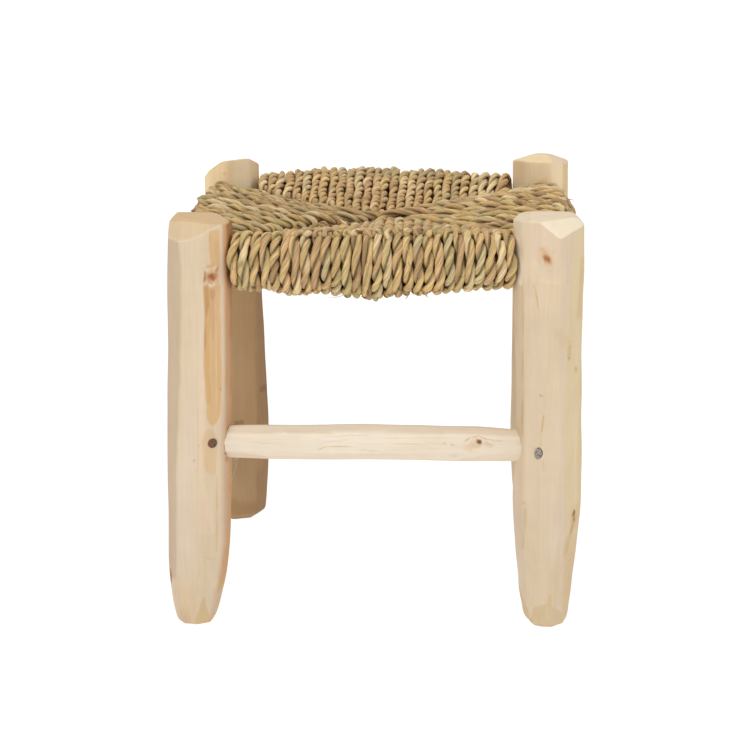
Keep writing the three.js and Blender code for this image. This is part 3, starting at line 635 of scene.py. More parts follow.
def polygonReach(edges, angles):
    # how far the polygon reaches along each angle: where the ray crosses the edge between two
    # corners, (corner x edge) / (ray x edge), averaged over 9 degrees so that its corners are soft
    turns = np.radians([edge[0] for edge in edges])
    reaches = np.array([edge[1] for edge in edges])
    corners = np.stack([reaches * np.cos(turns), reaches * np.sin(turns)], 1)
    following = np.roll(corners, -1, axis=0)
    total = 0
    for blur, weight in shaving["cornerBlur"]:
        swung = angles + math.radians(blur)
        index = np.searchsorted(turns, swung % fullTurn, side="right") - 1
        start, edge = corners[index], following[index] - corners[index]
        rayX, rayY = np.cos(swung), np.sin(swung)
        crossing = start[..., 0] * edge[..., 1] - start[..., 1] * edge[..., 0]
        total = total + weight * crossing / (rayX * edge[..., 1] - rayY * edge[..., 0])
    return total


def smoothed(table, column, share, spread):
    # a column of the stations at each share of the way, as the mean of five places in the spread
    blurs = (-1, -0.5, 0, 0.5, 1)
    return sum(np.interp(share + blur * spread, table[:, 0], table[:, column]) / len(blurs)
               for blur in blurs)


def degreesFrom(angles, middle):
    # how far each angle is from a direction in degrees: |((a - m + pi) mod 2 pi) - pi|
    return np.degrees(np.abs((angles - math.radians(middle) + math.pi) % fullTurn - math.pi))


def legWall(leg, angles, heights):
    # the leg's side at each angle and height: the centre line and the girth run through the
    # stations, eased over up to 7 mm either way, and the outline is the soft polygon with two
    # slight ripples; trims add depth x exp(-(turn away)^2 - (height away)^2)
    table = np.array(leg["stations"])
    share = heights / stool["height"]
    ease = np.clip(heights * shaving["easeShare"], 0, shaving["easeMost"]) / stool["height"]
    girth, shiftX, shiftY = (smoothed(table, column, share, ease) for column in (1, 2, 3))
    half = leg["thickness"] / 2
    centreX = leg["side"] * stool["railOffset"] + shiftX * leg["thickness"]
    centreY = leg["row"] * stool["railOffset"] + shiftY * leg["thickness"]
    around = np.stack([np.cos(angles) * half, np.sin(angles) * half, heights], -1)
    reach = polygonReach(leg["edges"], angles) * girth * half
    for extra, (length, squash) in enumerate(shaving["ripples"]):
        wave = ripple(around * [1, 1, squash], length, leg["seed"] + extra)
        reach = reach + shaving["rippleDepth"] * wave * fade(heights, 0, shaving["evenFoot"])
    for middle, halfWidth, height, halfHeight, depth in leg.get("trims", ()):
        away = degreesFrom(angles, middle) / halfWidth
        reach = reach + depth * np.exp(-away ** 2 - ((heights - height) / halfHeight) ** 2)
    return centreX + reach * np.cos(angles), centreY + reach * np.sin(angles), centreX, centreY


def topSurface(leg, x, y):
    # the lowest of the level top and the knife cuts, softened where they meet:
    # -k log(sum(exp(-z / k))). The second result says which of them is the lowest.
    half = leg["thickness"] / 2
    top = leg["top"] * stool["height"]
    planes = [np.full_like(x, top)]
    for toward, slope, crest, _, _ in leg["cuts"]:
        along = (x - leg["side"] * stool["railOffset"]) * math.cos(math.radians(toward))
        along = along + (y - leg["row"] * stool["railOffset"]) * math.sin(math.radians(toward))
        planes.append(top - math.tan(math.radians(slope)) * (along - crest * half))
    planes = np.stack(planes)
    soft = shaving["crease"]
    return top - soft * np.log(np.exp((top - planes) / soft).sum(axis=0)), planes.argmin(axis=0)


# How strips, marks and knots are painted: lengths in millimetres, fades from and to in half widths.
brush = {
    "waver": 0.3, "waverLength": 26, "wobble": 0.16, "wobbleLength": 1.2, "boxPower": 2.4,
    "knotFade": (0.3, 1.1), "lineFade": (0.4, 1.3), "patchFade": (0.6, 1.25),
    "ringMiddle": 1.5, "ringReach": 0.7, "ringTurns": 10, "ringAmount": 0.2,
    "heartFade": (0.05, 0.45), "heartAmount": 0.45,
    "sideReach": (-0.42, -0.3), "frontReach": (-0.05, 0.1),  # past the axis, in half thicknesses
    "woodLength": 26, "woodFade": (-1.4, 1.4), "bandWander": 4, "bandWanderLength": 150,
    "bandFade": (0.7, 1.25), "bandLength": 40, "shoulderWaver": 0.4, "shoulderLength": 9,
    "shoulderFade": (-0.5, 0.5), "rimWidth": 0.8, "footShade": 0.06, "footFade": (20, 170),
    "poleLength": 30, "poleFade": (-1.2, 1.2), "topFade": (2, 11),
}


def stripAmount(x, z, rows, softness, seed):
    # 1 between the wavering edges that run through the [height, left, right] rows, 0 outside; the
    # ends are twice as soft as the sides
    table = np.array(rows)
    waver = brush["waver"] * ripple(np.stack([x * 0.4, z], -1), brush["waverLength"], seed, 8)
    left = x - np.interp(z, table[:, 0], table[:, 1]) + waver
    right = np.interp(z, table[:, 0], table[:, 2]) - x + waver
    low = z - table[0, 0] + 2 * waver
    high = table[-1, 0] - z + 2 * waver
    sides = fade(left, -softness, softness) * fade(right, -softness, softness)
    return sides * fade(low, -2 * softness, 2 * softness) * fade(high, -2 * softness, 2 * softness)


def paintStrips(tint, x, z, strips, facing, seed):
    # lays the strips over the tint, one after another
    for number, (colour, strength, softness, *rows) in enumerate(strips):
        amount = strength * facing * stripAmount(x, z, rows, softness, seed + number)
        tint = blendInto(tint, woodColours[colour], amount)
    return tint


def markPlace(x, z, mark):
    # where each point lies in a mark, in half widths across it and half heights up it
    _, markX, markZ, halfWidth, halfHeight, tilt, _, _ = mark
    cosine, sine = math.cos(math.radians(tilt)), math.sin(math.radians(tilt))
    across = (x - markX) * cosine + (z - markZ) * sine
    up = (z - markZ) * cosine - (x - markX) * sine
    return across / halfWidth, up / halfHeight


def markAmount(x, z, mark, seed):
    # how strongly a mark shows at a place on the front: a knot is an ellipse with an uneven edge,
    # a patch is slightly boxy, (|across|^p + |up|^p)^(1 / p), and a line is broken along its way
    kind, halfWidth, strength = mark[0], mark[3], mark[7]
    across, up = markPlace(x, z, mark)
    size = max(2, brush["wobbleLength"] * halfWidth)
    wobble = ripple(np.stack([x, z * 0.4], -1), size, seed, 10)
    uneven = brush["wobble"] * wobble
    if kind == "knot":
        return strength * (1 - fade(np.hypot(across, up) + uneven, *brush["knotFade"]))
    power = brush["boxPower"]
    away = (np.abs(across) ** power + np.abs(up) ** power) ** (1 / power)
    if kind == "line":
        broken = np.clip(0.85 + 0.3 * wobble, 0.2, 1)
        return strength * (1 - fade(away, *brush["lineFade"])) * broken
    return strength * (1 - fade(away + uneven, *brush["patchFade"]))


def knotRings(tint, x, z, mark, front, number):
    # growth rings round a knot, exp(-((r - middle) / reach)^2) x (1 + cos(r turns)) / 2, and its
    # dark heart
    rings = np.hypot(*markPlace(x, z, mark)) + 0.15 * ripple(np.stack([x, z], -1), 8, number)
    lines = np.exp(-((rings - brush["ringMiddle"]) / brush["ringReach"]) ** 2)
    lines = lines * (0.5 + 0.5 * np.cos(rings * brush["ringTurns"]))
    heart = 1 - fade(rings, *brush["heartFade"])
    tint = blendInto(tint, woodColours["deep"], brush["ringAmount"] * front * lines)
    return blendInto(tint, woodColours["brown"], brush["heartAmount"] * front * heart)


def paintLeg(leg, x, y, z, angles, cutIndex, centreY):
    # cream wood, then the bands up its faces, the strips, the shoulder under the top, the top's
    # level part and cuts, a darker foot, and the marks on its front
    seed = leg["seed"]
    place = np.stack([x, y, z * 0.1], -1)
    blend = fade(ripple(place, brush["woodLength"], seed + 5), *brush["woodFade"])[..., None]
    tint = woodColours["cream"] * blend + woodColours["linen"] * (1 - blend)
    forward = (centreY - y) / (leg["thickness"] / 2)
    facing, front = fade(forward, *brush["sideReach"]), fade(forward, *brush["frontReach"])
    wander = ripple(np.stack([z, z * 0 + 1], -1), brush["bandWanderLength"], seed + 6)
    wander = np.radians(brush["bandWander"]) * wander
    for middle, halfWidth, colour, strength in leg["bands"]:
        away = degreesFrom(angles + wander, middle) / halfWidth
        uneven = np.clip(0.85 + 0.2 * ripple(place, brush["bandLength"], seed + middle), 0, 1)
        amount = strength * (1 - fade(away, *brush["bandFade"])) * uneven
        tint = blendInto(tint, woodColours[colour], amount)
    tint = paintStrips(tint, x, z, leg["strips"], facing, seed + 60)
    if "shoulder" in leg:
        shoulder = leg["shoulder"]
        edge = np.array(shoulder["edge"])
        waver = ripple(np.stack([x, z], -1), brush["shoulderLength"], seed, 8)
        above = z - np.interp(x, edge[:, 0], edge[:, 1]) + brush["shoulderWaver"] * waver
        face, rim = fade(above, *brush["shoulderFade"]), np.exp(-(above / brush["rimWidth"]) ** 2)
        for (colour, strength), share in ((shoulder["face"], face), (shoulder["rim"], rim)):
            tint = blendInto(tint, woodColours[colour], facing * strength * share)
    for index, (colour, strength) in enumerate([leg["crown"]] + [cut[3:] for cut in leg["cuts"]]):
        tint = blendInto(tint, woodColours[colour], strength * (cutIndex == index))
    tint = tint * (1 - brush["footShade"] * (1 - fade(z, *brush["footFade"])))[..., None]
    for number, mark in enumerate(leg["marks"]):
        amount = front * markAmount(x, z, mark, seed + 30 + number)
        tint = blendInto(tint, woodColours[mark[6]], amount)
        if mark[0] == "knot":
            tint = knotRings(tint, x, z, mark, front, number)
    return tint


def makeLeg(name, leg):
    # rings from the middle of the foot out, up the side and in over the top; edges are rounded.
    # A front leg has two thirds of its points on its front.
    turns = np.linspace(0, fullTurn, leg["around"], endpoint=False)
    crowding = shaving["crowding"] if leg["row"] < 0 else 0
    angles = np.sort((turns - crowding * np.cos(turns)) % fullTurn)
    rounding = shaving["rounding"]
    top = np.full_like(angles, leg["top"] * stool["height"])
    for _ in range(6):  # the wall shifts a little with the height of its top, which this settles
        x, y, _, _ = legWall(leg, angles, top)
        top, _ = topSurface(leg, x, y)
    heights = rounding + (top - 2 * rounding) * np.linspace(0, 1, leg["up"])[:, None]
    turned = np.broadcast_to(angles, heights.shape)
    x, y, centreX, centreY = legWall(leg, turned, heights)
    shares = np.concatenate([[0.004, 0.012, 0.025], np.linspace(0.045, 0.96, 32)])[:, None]

    def capRings(ringX, ringY):
        # rings from an edge in to its middle, and how far the rounded edge lowers each: a quarter
        # circle, r (1 - sqrt(1 - (1 - inset / r)^2))
        capX = ringX + (ringX.mean() - ringX) * shares
        capY = ringY + (ringY.mean() - ringY) * shares
        inset = np.hypot(capX - ringX, capY - ringY)
        drop = rounding * (1 - np.sqrt(1 - (1 - np.clip(inset / rounding, 0, 1)) ** 2))
        return capX, capY, drop

    topX, topY, topDrop = capRings(x[-1], y[-1])
    footX, footY, footDrop = capRings(x[0], y[0])
    topZ, cutIndex = topSurface(leg, topX, topY)
    allX = np.vstack([footX[::-1], x, topX])
    allY = np.vstack([footY[::-1], y, topY])
    allZ = np.vstack([footDrop[::-1], heights, topZ - topDrop])
    cuts = np.vstack([np.full(footX.shape, -1), np.full(x.shape, -1), cutIndex])
    allAngles = np.broadcast_to(angles, allX.shape)
    footMiddle, topMiddle = (np.full(topX.shape, centreY[end, 0]) for end in (0, -1))
    middles = np.vstack([footMiddle, centreY, topMiddle])
    for kind, markX, markZ, halfWidth, halfHeight, *_ in leg["marks"]:
        if kind == "knot":
            reach = shaving["knotReach"]
            away = np.hypot(
                (allX - markX) / (reach * halfWidth), (allZ - markZ) / (reach * halfHeight))
            swell = shaving["knotSwell"] * np.exp(-away ** 2) * (allY < middles)
            allX = allX + swell * np.cos(allAngles)
            allY = allY + swell * np.sin(allAngles)
    piece = closedSurface(name + "_shaved", [np.stack([allX, allY, allZ], -1) * mm])
    tint = paintLeg(leg, allX, allY, allZ, allAngles, cuts, middles)
    paintPoints(piece, "woodTint", withEnds(tint))
    holes = [(*hole[:4], woodColours[hole[4]]) for hole in leg["holes"]]
    finishPiece(piece, makeWood(name + "_wood", holes), name)
    print(name, "made,", len(piece.data.polygons), "faces")


makeLeg("leg_front_left", frontLeftLeg)
makeLeg("leg_front_right", frontRightLeg)
makeLeg("leg_back_left", backLeftLeg)
makeLeg("leg_back_right", backRightLeg)


# Poles run along x or y. Stations are [share of the way, shift of the centre's height, radius] in
# millimetres, tones are bytes, the top gain is a painted highlight that brightens a pole's upper
# side, and strips and marks are as on the legs.
frontStretcher = {
    "axis": "x", "ends": (-146.5, 144.9), "place": -148, "height": 158.5, "seed": 40,
    "tones": [(236, 223, 204), (232, 216, 195)], "paintedTopLight": 1.09,
    "stations": [
        [0, 0.2, 12], [0.05, 0.2, 12.3], [0.075, 0.2, 13], [0.105, 0.1, 13.7], [0.2, 0, 14.3],
        [0.35, 0.3, 15], [0.5, 0.8, 15.3], [0.66, 0.3, 15], [0.8, -0.5, 14.8], [0.88, -1, 14],
        [0.93, -1.2, 13.4], [0.95, -1.2, 12.6], [1, -1.2, 12],
    ],
    "strips": [
        ["sand", 0.35, 0.6, [168.6, -70, -30], [170.4, -74, -36]],
        ["tan", 0.35, 2.2, [138, -125, -58], [148, -125, -86], [153, -125, -108]],
        ["tan", 0.2, 1.5, [138, -60, 90], [146.5, -60, 90]],
        ["tan", 0.3, 2.8, [138, 68, 130], [147.5, 72, 130], [152.5, 94, 130], [155.5, 112, 130]],
        ["sand", 0.25, 0.9, [168.5, -10, 60], [170.5, -10, 60]],
    ],
    "marks": [
        ["patch", 86, 162.6, 5.4, 3.4, 0, "orange", 0.35],
        ["knot", 89, 163.6, 3.1, 2.7, 0, "bark", 1],
        ["patch", 89.2, 163.6, 1.3, 1.1, 0, "dark", 0.7],
        ["patch", 82, 158.6, 8, 4.2, -12, "peach", 0.4],
        ["patch", 96, 161.4, 4.5, 2, -20, "peach", 0.4],
        ["patch", 88, 156.6, 5, 2, 0, "bright", 0.5],
        ["line", 78.8, 165.2, 3.4, 0.5, 36, "ochre", 0.9],
        ["line", 85.2, 167.4, 4.6, 0.5, 7, "ochre", 0.85],
        ["line", 92.4, 166.4, 4.6, 0.45, -18, "ochre", 0.85],
        ["line", 102, 164.6, 7, 0.4, -6, "ochre", 0.8],
        ["line", 85.2, 160.4, 3, 0.4, -37, "ochre", 0.55],
        ["line", 96.4, 162.4, 3.2, 0.4, -24, "ochre", 0.7],
        ["line", 60, 162.7, 1.3, 0.5, 0, "rust", 0.8],
        ["line", 66.4, 161.6, 1.8, 0.5, -4, "rust", 0.8],
        ["line", 36, 162, 34, 0.45, 1, "ochre", 0.5], ["line", 36, 166.4, 30, 0.5, 0, "sand", 0.4],
        ["line", -41.6, 157.4, 4.4, 0.5, 22, "ochre", 0.85],
        ["line", -26.5, 159.3, 12.5, 0.5, 1, "ochre", 0.95],
        ["line", -20, 167.7, 24, 0.5, 2, "sand", 0.5],
        ["line", -31, 163.4, 16, 0.6, 8, "sand", 0.4], ["line", 0, 155.6, 12, 0.5, -6, "sand", 0.5],
        ["line", -88, 161, 20, 0.5, -6, "sand", 0.3],
        ["line", -96, 168.5, 16, 0.6, 2, "yellow", 0.5],
        ["line", 10, 151.8, 40, 0.6, 0, "sand", 0.3], ["line", 40, 157.4, 26, 0.4, 2, "sand", 0.4],
        ["patch", 68, 151, 4, 2.4, 0, "lightGrey", 0.35],
    ],
}

leftStretcher = {
    "axis": "y", "ends": (-146.2, 143.6), "place": -146, "height": 80, "seed": 44,
    # its tones are painted darker than the other stretchers': painted shade
    "tones": [(188, 160, 120), (174, 146, 108)],
    "stations": [
        [0, 0, 12], [0.06, 0, 12.3], [0.1, 0, 13.4], [0.3, 0.4, 14.8], [0.5, 0, 15.2],
        [0.7, -0.3, 14.9], [0.9, 0, 13.6], [0.94, 0, 12.4], [1, 0, 12],
    ],
    "strips": [],
    "marks": [],
}

rightStretcher = {
    "axis": "y", "ends": (-147, 147.5), "place": 146, "height": 80, "seed": 48,
    "tones": [(214, 188, 150), (206, 178, 138)],
    "stations": [
        [0, 0, 12], [0.06, 0, 12.3], [0.1, 0, 13.4], [0.3, -0.2, 14.9], [0.5, 0.3, 15.2],
        [0.7, 0.2, 14.7], [0.9, 0, 13.6], [0.94, 0, 12.4], [1, 0, 12],
    ],
    "strips": [],
    "marks": [],
}


def makePole(name, pole, around=96, along=320):
    # a bulged pole with ten soft facets: radius = station radius x soft polygon, plus long ripples
    angles = np.linspace(0, fullTurn, around, endpoint=False)
    share = np.linspace(0, 1, along)[:, None]
    table = np.array(pole["stations"])
    height, radius = (smoothed(table, column, share, shaving["poleEase"]) for column in (1, 2))
    start, end = pole["ends"]
    travel = start + (end - start) * share
    facets = shaving["poleFacets"]
    rng = np.random.default_rng(pole["seed"])
    turns = np.arange(facets) * 360 / facets + rng.uniform(-7, 7, facets) + 10
    edges = [[turn, rng.uniform(0.98, 1.02)] for turn in turns]
    flat = np.stack(np.broadcast_arrays(travel * 0.3, 15 * np.cos(angles), 15 * np.sin(angles)), -1)
    reach = radius * polygonReach(edges, angles)
    reach = reach + shaving["poleRipple"] * ripple(flat, 16, pole["seed"])
    side = reach * np.cos(angles)
    lift = pole["height"] + height + reach * np.sin(angles)
    travel = np.broadcast_to(travel, side.shape)
    if pole["axis"] == "x":
        rings = np.stack([travel, pole["place"] - side, lift], -1)[::-1]
    else:
        rings = np.stack([pole["place"] + side, travel, lift], -1)[::-1]
    x, y, z = rings[..., 0], rings[..., 1], rings[..., 2]
    blend = ripple(flat, brush["poleLength"], pole["seed"] + 1)
    blend = fade(blend, *brush["poleFade"])[..., None]
    first, second = (light(*tone) for tone in pole["tones"])
    tint = first * blend + second * (1 - blend)
    # painted highlight: the pole's upper side is painted lighter
    gain = pole.get("paintedTopLight", 1) - 1
    tint = tint * (1 + gain * fade(z - pole["height"], *brush["topFade"]))[..., None]
    facing = (y < pole["place"]) * 1.0
    tint = paintStrips(tint, x, z, pole["strips"], facing, 70)
    for number, mark in enumerate(pole["marks"]):
        amount = facing * markAmount(x, z, mark, pole["seed"] + 9 + number)
        tint = blendInto(tint, woodColours[mark[6]], amount)
    piece = closedSurface(name + "_shaved", [rings * mm])
    paintPoints(piece, "woodTint", withEnds(tint))
    grain = (0.045, 1, 1) if pole["axis"] == "x" else (1, 0.045, 1)
    finishPiece(piece, makeWood(name + "_wood", axis=grain), name)
    print(name, "made")


makePole("stretcher_front", frontStretcher)
makePole("stretcher_left", leftStretcher)
makePole("stretcher_right", rightStretcher)


# The four rails are the solids themselves, in plain hewn wood: they are hidden by the rope.
rails = {"dark": (150, 116, 78), "pale": (186, 152, 108), "noiseScale": 90, "roughness": 0.8}
railPaint, tree, shader = newMaterial("rail_wood")
place = node(tree, "ShaderNodeTexCoord").outputs["Object"]
noise = noiseAt(tree, place, rails["noiseScale"], 4)
tone = mixed(tree, noise, (*light(*rails["dark"]), 1), (*light(*rails["pale"]), 1))
tree.links.new(tone, shader.inputs["Base Color"])
shader.inputs["Roughness"].default_value = rails["roughness"]
for side in ("front", "back", "left", "right"):
    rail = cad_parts["seat_rail_" + side]
    rail.data.materials.clear()
    rail.data.materials.append(railPaint)
print("rails coloured")


# Each nail is [middle of its head, outward, tone in bytes, squash, proud]: squash is how wide and
# how high its hammered head is, against a round one, and proud is how far the head stands off the
# wood in millimetres. The profile is [radius, height above the wood].
nails = {
    "nail_front_left": [(-132.43, -166.08, 162.3), (0, -1, 0), (104, 84, 70), (0.9, 0.98), 0.45],
    "nail_front_right": [(137.5, -170.68, 157), (0, -1, 0), (150, 140, 130), (0.78, 1.12), 1],
    "nail_left_front": [(-168.82, -133.73, 83), (-1, 0, 0), (110, 98, 90), (1, 1), 0.4],
    "nail_left_back": [(-163.45, 130.92, 83), (-1, 0, 0), (120, 108, 100), (1, 1), 0.4],
    "nail_right_front": [(169.52, -134.35, 83), (1, 0, 0), (116, 104, 96), (1, 1), 0.4],
    "nail_right_back": [(171.51, 135.02, 83), (1, 0, 0), (112, 100, 92), (1, 1), 0.4],
}
wire = {
    "profile": [
        [0.05, -38], [0.5, -36.5], [1.3, -34.2], [1.8, -32.6], [1.8, -10], [1.8, -2.2],
        [2.2, -1.4], [3.9, -1.1], [4.15, -0.8], [4.2, -0.45], [4.1, -0.15], [3.8, 0.02],
        [3.2, 0.08], [2.4, 0.1], [1.5, 0.1], [0.7, 0.1], [0.2, 0.1],
    ],
    "headFrom": -2, "dent": 0.16, "dentLength": 3.2, "dentFrom": -0.5,
    "metallic": 0.4, "roughness": 0.55, "spotScale": 600, "spotShares": (0.4, 1.5),
    "bump": 0.5, "bumpDepth": 0.3,
}


def makeNail(name, head, outward, tone, squash, proud, around=48):
    # a round wire nail: the profile is turned about its axis, and the hammered head is dented
    angles = np.linspace(0, fullTurn, around, endpoint=False)
    outward = np.array(outward, float)
    first = np.cross((0, 0, 1), outward)
    second = np.cross(outward, first)
    profile = np.array(wire["profile"])
    radius, depth = profile[:, :1], profile[:, 1:]
    flat = np.stack([radius * np.cos(angles), radius * np.sin(angles)], -1)
    flat = flat * np.where(depth[..., None] > wire["headFrom"], squash, 1)
    dents = wire["dent"] * ripple(flat, wire["dentLength"], int(abs(head[0])))
    lift = depth + dents * (depth > wire["dentFrom"]) + proud
    rings = head + flat[..., :1] * first + flat[..., 1:] * second + lift[..., None] * outward
    piece = closedSurface(name + "_hammered", [rings * mm])
    material, tree, shader = newMaterial(name + "_steel")
    place = node(tree, "ShaderNodeTexCoord").outputs["Object"]
    noise = noiseAt(tree, place, wire["spotScale"], 4)
    dark, bright = ((*light(*tone) * share, 1) for share in wire["spotShares"])
    spots = mixed(tree, ranged(tree, noise, 0.35, 0.65, 0, 1), dark, bright)
    tree.links.new(spots, shader.inputs["Base Color"])
    shader.inputs["Metallic"].default_value = wire["metallic"]
    shader.inputs["Roughness"].default_value = wire["roughness"]
    addBump(tree, shader, noise, wire["bump"], wire["bumpDepth"] * mm)
    finishPiece(piece, material, name)


for name, nail in nails.items():
    makeNail(name, *nail)
print("nails made")


# Lengths in millimetres. The path's points are [shift x, shift y, lift, girth] from where the
# strands cross, in pitches and rope radii; the lift of the riser's is in shares of the seat's
# thickness. Nudges move the wound rope near a place by [centre, reach, shift]. Front and back lay
# are how much longer one turn of the plies is there. The palette is [colour in bytes, share], and
# the bulges of a wrap on the front or back rail are [angle, width, share of the shoulder].
rope = {
    "rounds": 14, "halfWidth": 113.627, "pitch": 8.1162, "railMiddle": 17.7, "railEnd": 13.2,
    "wrapGap": 5, "dish": 16, "underRise": 3, "fan": 0.035, "radius": 3.55, "shoulder": 0.12,
    "sideLift": 2, "wrapTurns": [98, 118, 138, 159, 180, 201, 222, 242, 262],
    "lay": 32, "plyOffset": 2.15, "plyRadius": 2.68, "flatness": (0.94, 1.1), "ridge": 0.11,
    "step": 2, "sides": 12, "pieces": 6, "seed": 7,
    "wander": 0.75, "wanderLength": 46, "sag": (0.35, 0.35, 0.8), "sagLength": 170,
    "twist": 1.5, "twistLength": 150, "swells": [(8, 0.07, 91), (30, 0.12, 93)], "seamPitch": 17,
    "frontLay": 0.2, "backLay": -0.2, "backThinning": 0.12, "backLight": 0.16, "leftShade": 0.1,
    "worn": (182, 140, 98), "wornAmount": 0.5, "wornMiddle": (0, 55), "wornReach": (60, 70),
    "innermost": 0.42, "creviceFade": (-0.85, 0.3), "innerSide": 0.5, "innerFade": (-0.8, 0.15),
    "outermost": 4.4, "sideFade": (-6, 16), "frontFade": (100, 150), "upperFade": (306, 318),
    "outerFade": (0, 20), "outerFrom": 132, "upperFrom": 305, "waves": 40,
    "seamWander": 0.8, "seamWanderLength": 60, "ridgeFrom": 0.93, "ridgePower": 0.7,
    "fibreLength": 30, "fibreApart": 50,
    "leafLengths": (25, 90), "leafShades": (0.86, 1.08), "leafBlend": (0, 3),
    "bulges": [(2.3, 0.5, 1), (4, 0.5, 0.5)],
    "path": {
        "crossing": [-0.701, -0.168, -1.1, 0.84], "landing": [0.284, -1.167, -0.85, 0.97],
        "dive": [0.451, -1.071, -0.746, 0.9], "riserFoot": [-0.054, -0.626, 0.155, 0.66],
        "riserHead": [-0.6, 0.161, 0.805, 0.66], "turn": [-0.8, 0.068, 0.6, 0.94],
        "under": [0.137, 0.2, 0.226, 0.9], "leaving": [1.027, -0.701, 2.642, 0.84],
    },
    "nudges": [
        [(-118, -150, 338), (34, 24, 24), (0, 0, 2)], [(118, -150, 338), (34, 24, 24), (0, 0, 2)],
        [(40, -152, 336), (90, 22, 22), (0, 0, 3.6)], [(104, -160, 290), (66, 26, 20), (0, 0, 3.4)],
        [(-160, 112, 330), (30, 80, 26), (1.6, 0, -3)],
        [(-166, 30, 328), (20, 70, 16), (4.4, 0, -2.6)], [(64, 72, 330), (48, 44, 26), (0, -8, -4)],
        [(-64, 72, 330), (48, 44, 26), (0, -3, -2)], [(102, 100, 333), (36, 40, 24), (0, -12, -5)],
        [(-100, 100, 333), (36, 40, 24), (0, -6, -3)], [(0, 150, 338), (200, 26, 22), (0, 0, -1.2)],
        [(112, 152, 330), (11, 34, 40), (3, 0, 1.2)], [(22, 150, 338), (26, 26, 22), (0, 0, -2.4)],
        [(160, 40, 325), (26, 150, 40), (4.2, 0, 0.8)], [(-3, -160, 287), (7, 22, 9), (0, 0, -3.6)],
        [(-36, -160, 287), (17, 24, 12), (0, 0, 2.8)],
    ],
    "palette": [
        ((220, 186, 128), 0.34), ((236, 208, 158), 0.2), ((214, 188, 130), 0.14),
        ((214, 176, 126), 0.1), ((200, 164, 118), 0.12), ((208, 186, 138), 0.1),
    ],
}


def ropeCorner(number, corner):
    # one corner of one round: over the front rail, under it, up inside the corner, over the left
    # rail and under it. Wraps lie on a circle about a side rail, and on a rounded square about the
    # front and the back one; strands spread as they pass its outside. On the side rails every
    # other strand is packed higher.
    inset = (number + 0.5) * rope["pitch"]
    place = inset - rope["halfWidth"]
    bulge = 1 - (place / rope["halfWidth"]) ** 2
    rail = rope["railEnd"] + (rope["railMiddle"] - rope["railEnd"]) * bulge
    reach = rail + rope["wrapGap"]
    fromRail = (inset + stool["railOffset"] - rope["halfWidth"]) / stool["railOffset"]
    top = stool["railHeight"] + reach - rope["dish"] * fromRail
    bottom = stool["railHeight"] - reach + rope["underRise"] * fromRail
    radius, tall = rope["radius"], top - bottom
    packed = rope["sideLift"] * (1 if number % 2 else -0.6)
    firstLift, secondLift = (packed, 0) if corner % 2 else (0, packed)

    def free(name, level, unit):
        across, along, lift, girth = rope["path"][name]
        x, y = place + across * rope["pitch"], place + along * rope["pitch"]
        return [x, y, level + lift * unit, girth]

    def wrapped(raised):
        turns = np.radians(rope["wrapTurns"])
        shoulder = 0 if raised else rope["shoulder"]
        square = sum((share * shoulder * np.exp(-((turns - middle) / width) ** 2)
                      for middle, width, share in rope["bulges"]), start=1)
        far = reach * square + raised * np.sin(turns).clip(0)
        out = far * np.cos(turns) - stool["railOffset"]
        fanned = place * (1 - rope["fan"] * np.cos(turns))
        return out, fanned, stool["railHeight"] + far * np.sin(turns), turns * 0 + 1

    firstOut, firstPlace, firstHeight, whole = wrapped(firstLift)
    secondOut, secondPlace, secondHeight, _ = wrapped(secondLift)
    return np.vstack([
        free("crossing", top + firstLift, radius), free("landing", top + firstLift, radius),
        np.stack([firstPlace, firstOut, firstHeight, whole], 1),
        free("dive", bottom, radius), free("riserFoot", bottom, tall),
        free("riserHead", bottom, tall), free("turn", top + secondLift, radius),
        np.stack([secondOut, secondPlace, secondHeight, whole], 1),
        free("under", bottom, radius), free("leaving", bottom, radius),
    ])


def ropePath():
    # all rounds in turn, each corner turned a quarter further, then a curve through the points
    # (Catmull-Rom) that is walked in even steps
    points = []
    for number in range(rope["rounds"]):
        for corner in range(4):
            part = ropeCorner(number, corner)
            for _ in range(corner):
                part[:, [0, 1]] = np.stack([-part[:, 1], part[:, 0]], 1)
            points.append(part)
    points = np.vstack(points)
    padded = np.vstack([2 * points[0] - points[1], points, 2 * points[-1] - points[-2]])
    before, here, after, beyond = padded[:-3], padded[1:-2], padded[2:-1], padded[3:]
    share = (np.arange(12) / 12)[:, None, None]
    curve = 0.5 * (
        2 * here + (after - before) * share
        + (2 * before - 5 * here + 4 * after - beyond) * share ** 2
        + (3 * here - before - 3 * after + beyond) * share ** 3)
    curve = curve.transpose(1, 0, 2).reshape(-1, 4)
    lengths = np.linalg.norm(np.diff(curve[:, :3], axis=0), axis=1)
    walked = np.concatenate([[0], np.cumsum(lengths)])
    even = np.arange(0, walked[-1], rope["step"])
    return np.stack([np.interp(even, walked, curve[:, column]) for column in range(4)], 1), even


def nudgedPath(path, walked):
    # lets the path wander and sag a little, and moves it near the listed places by
    # shift x exp(-(distance / reach)^2)
    def wave(length, seed):
        waves = [ripple(walked, length, seed + axis, rope["waves"]) for axis in range(3)]
        return np.stack(waves, 1)

    place = path + rope["wander"] * wave(rope["wanderLength"], rope["seed"])
    place = place + rope["sag"] * wave(rope["sagLength"], rope["seed"] + 9)
    for centre, reach, shift in rope["nudges"]:
        away = (((place - centre) / reach) ** 2).sum(axis=1)
        place = place + np.exp(-away)[:, None] * shift
    return place


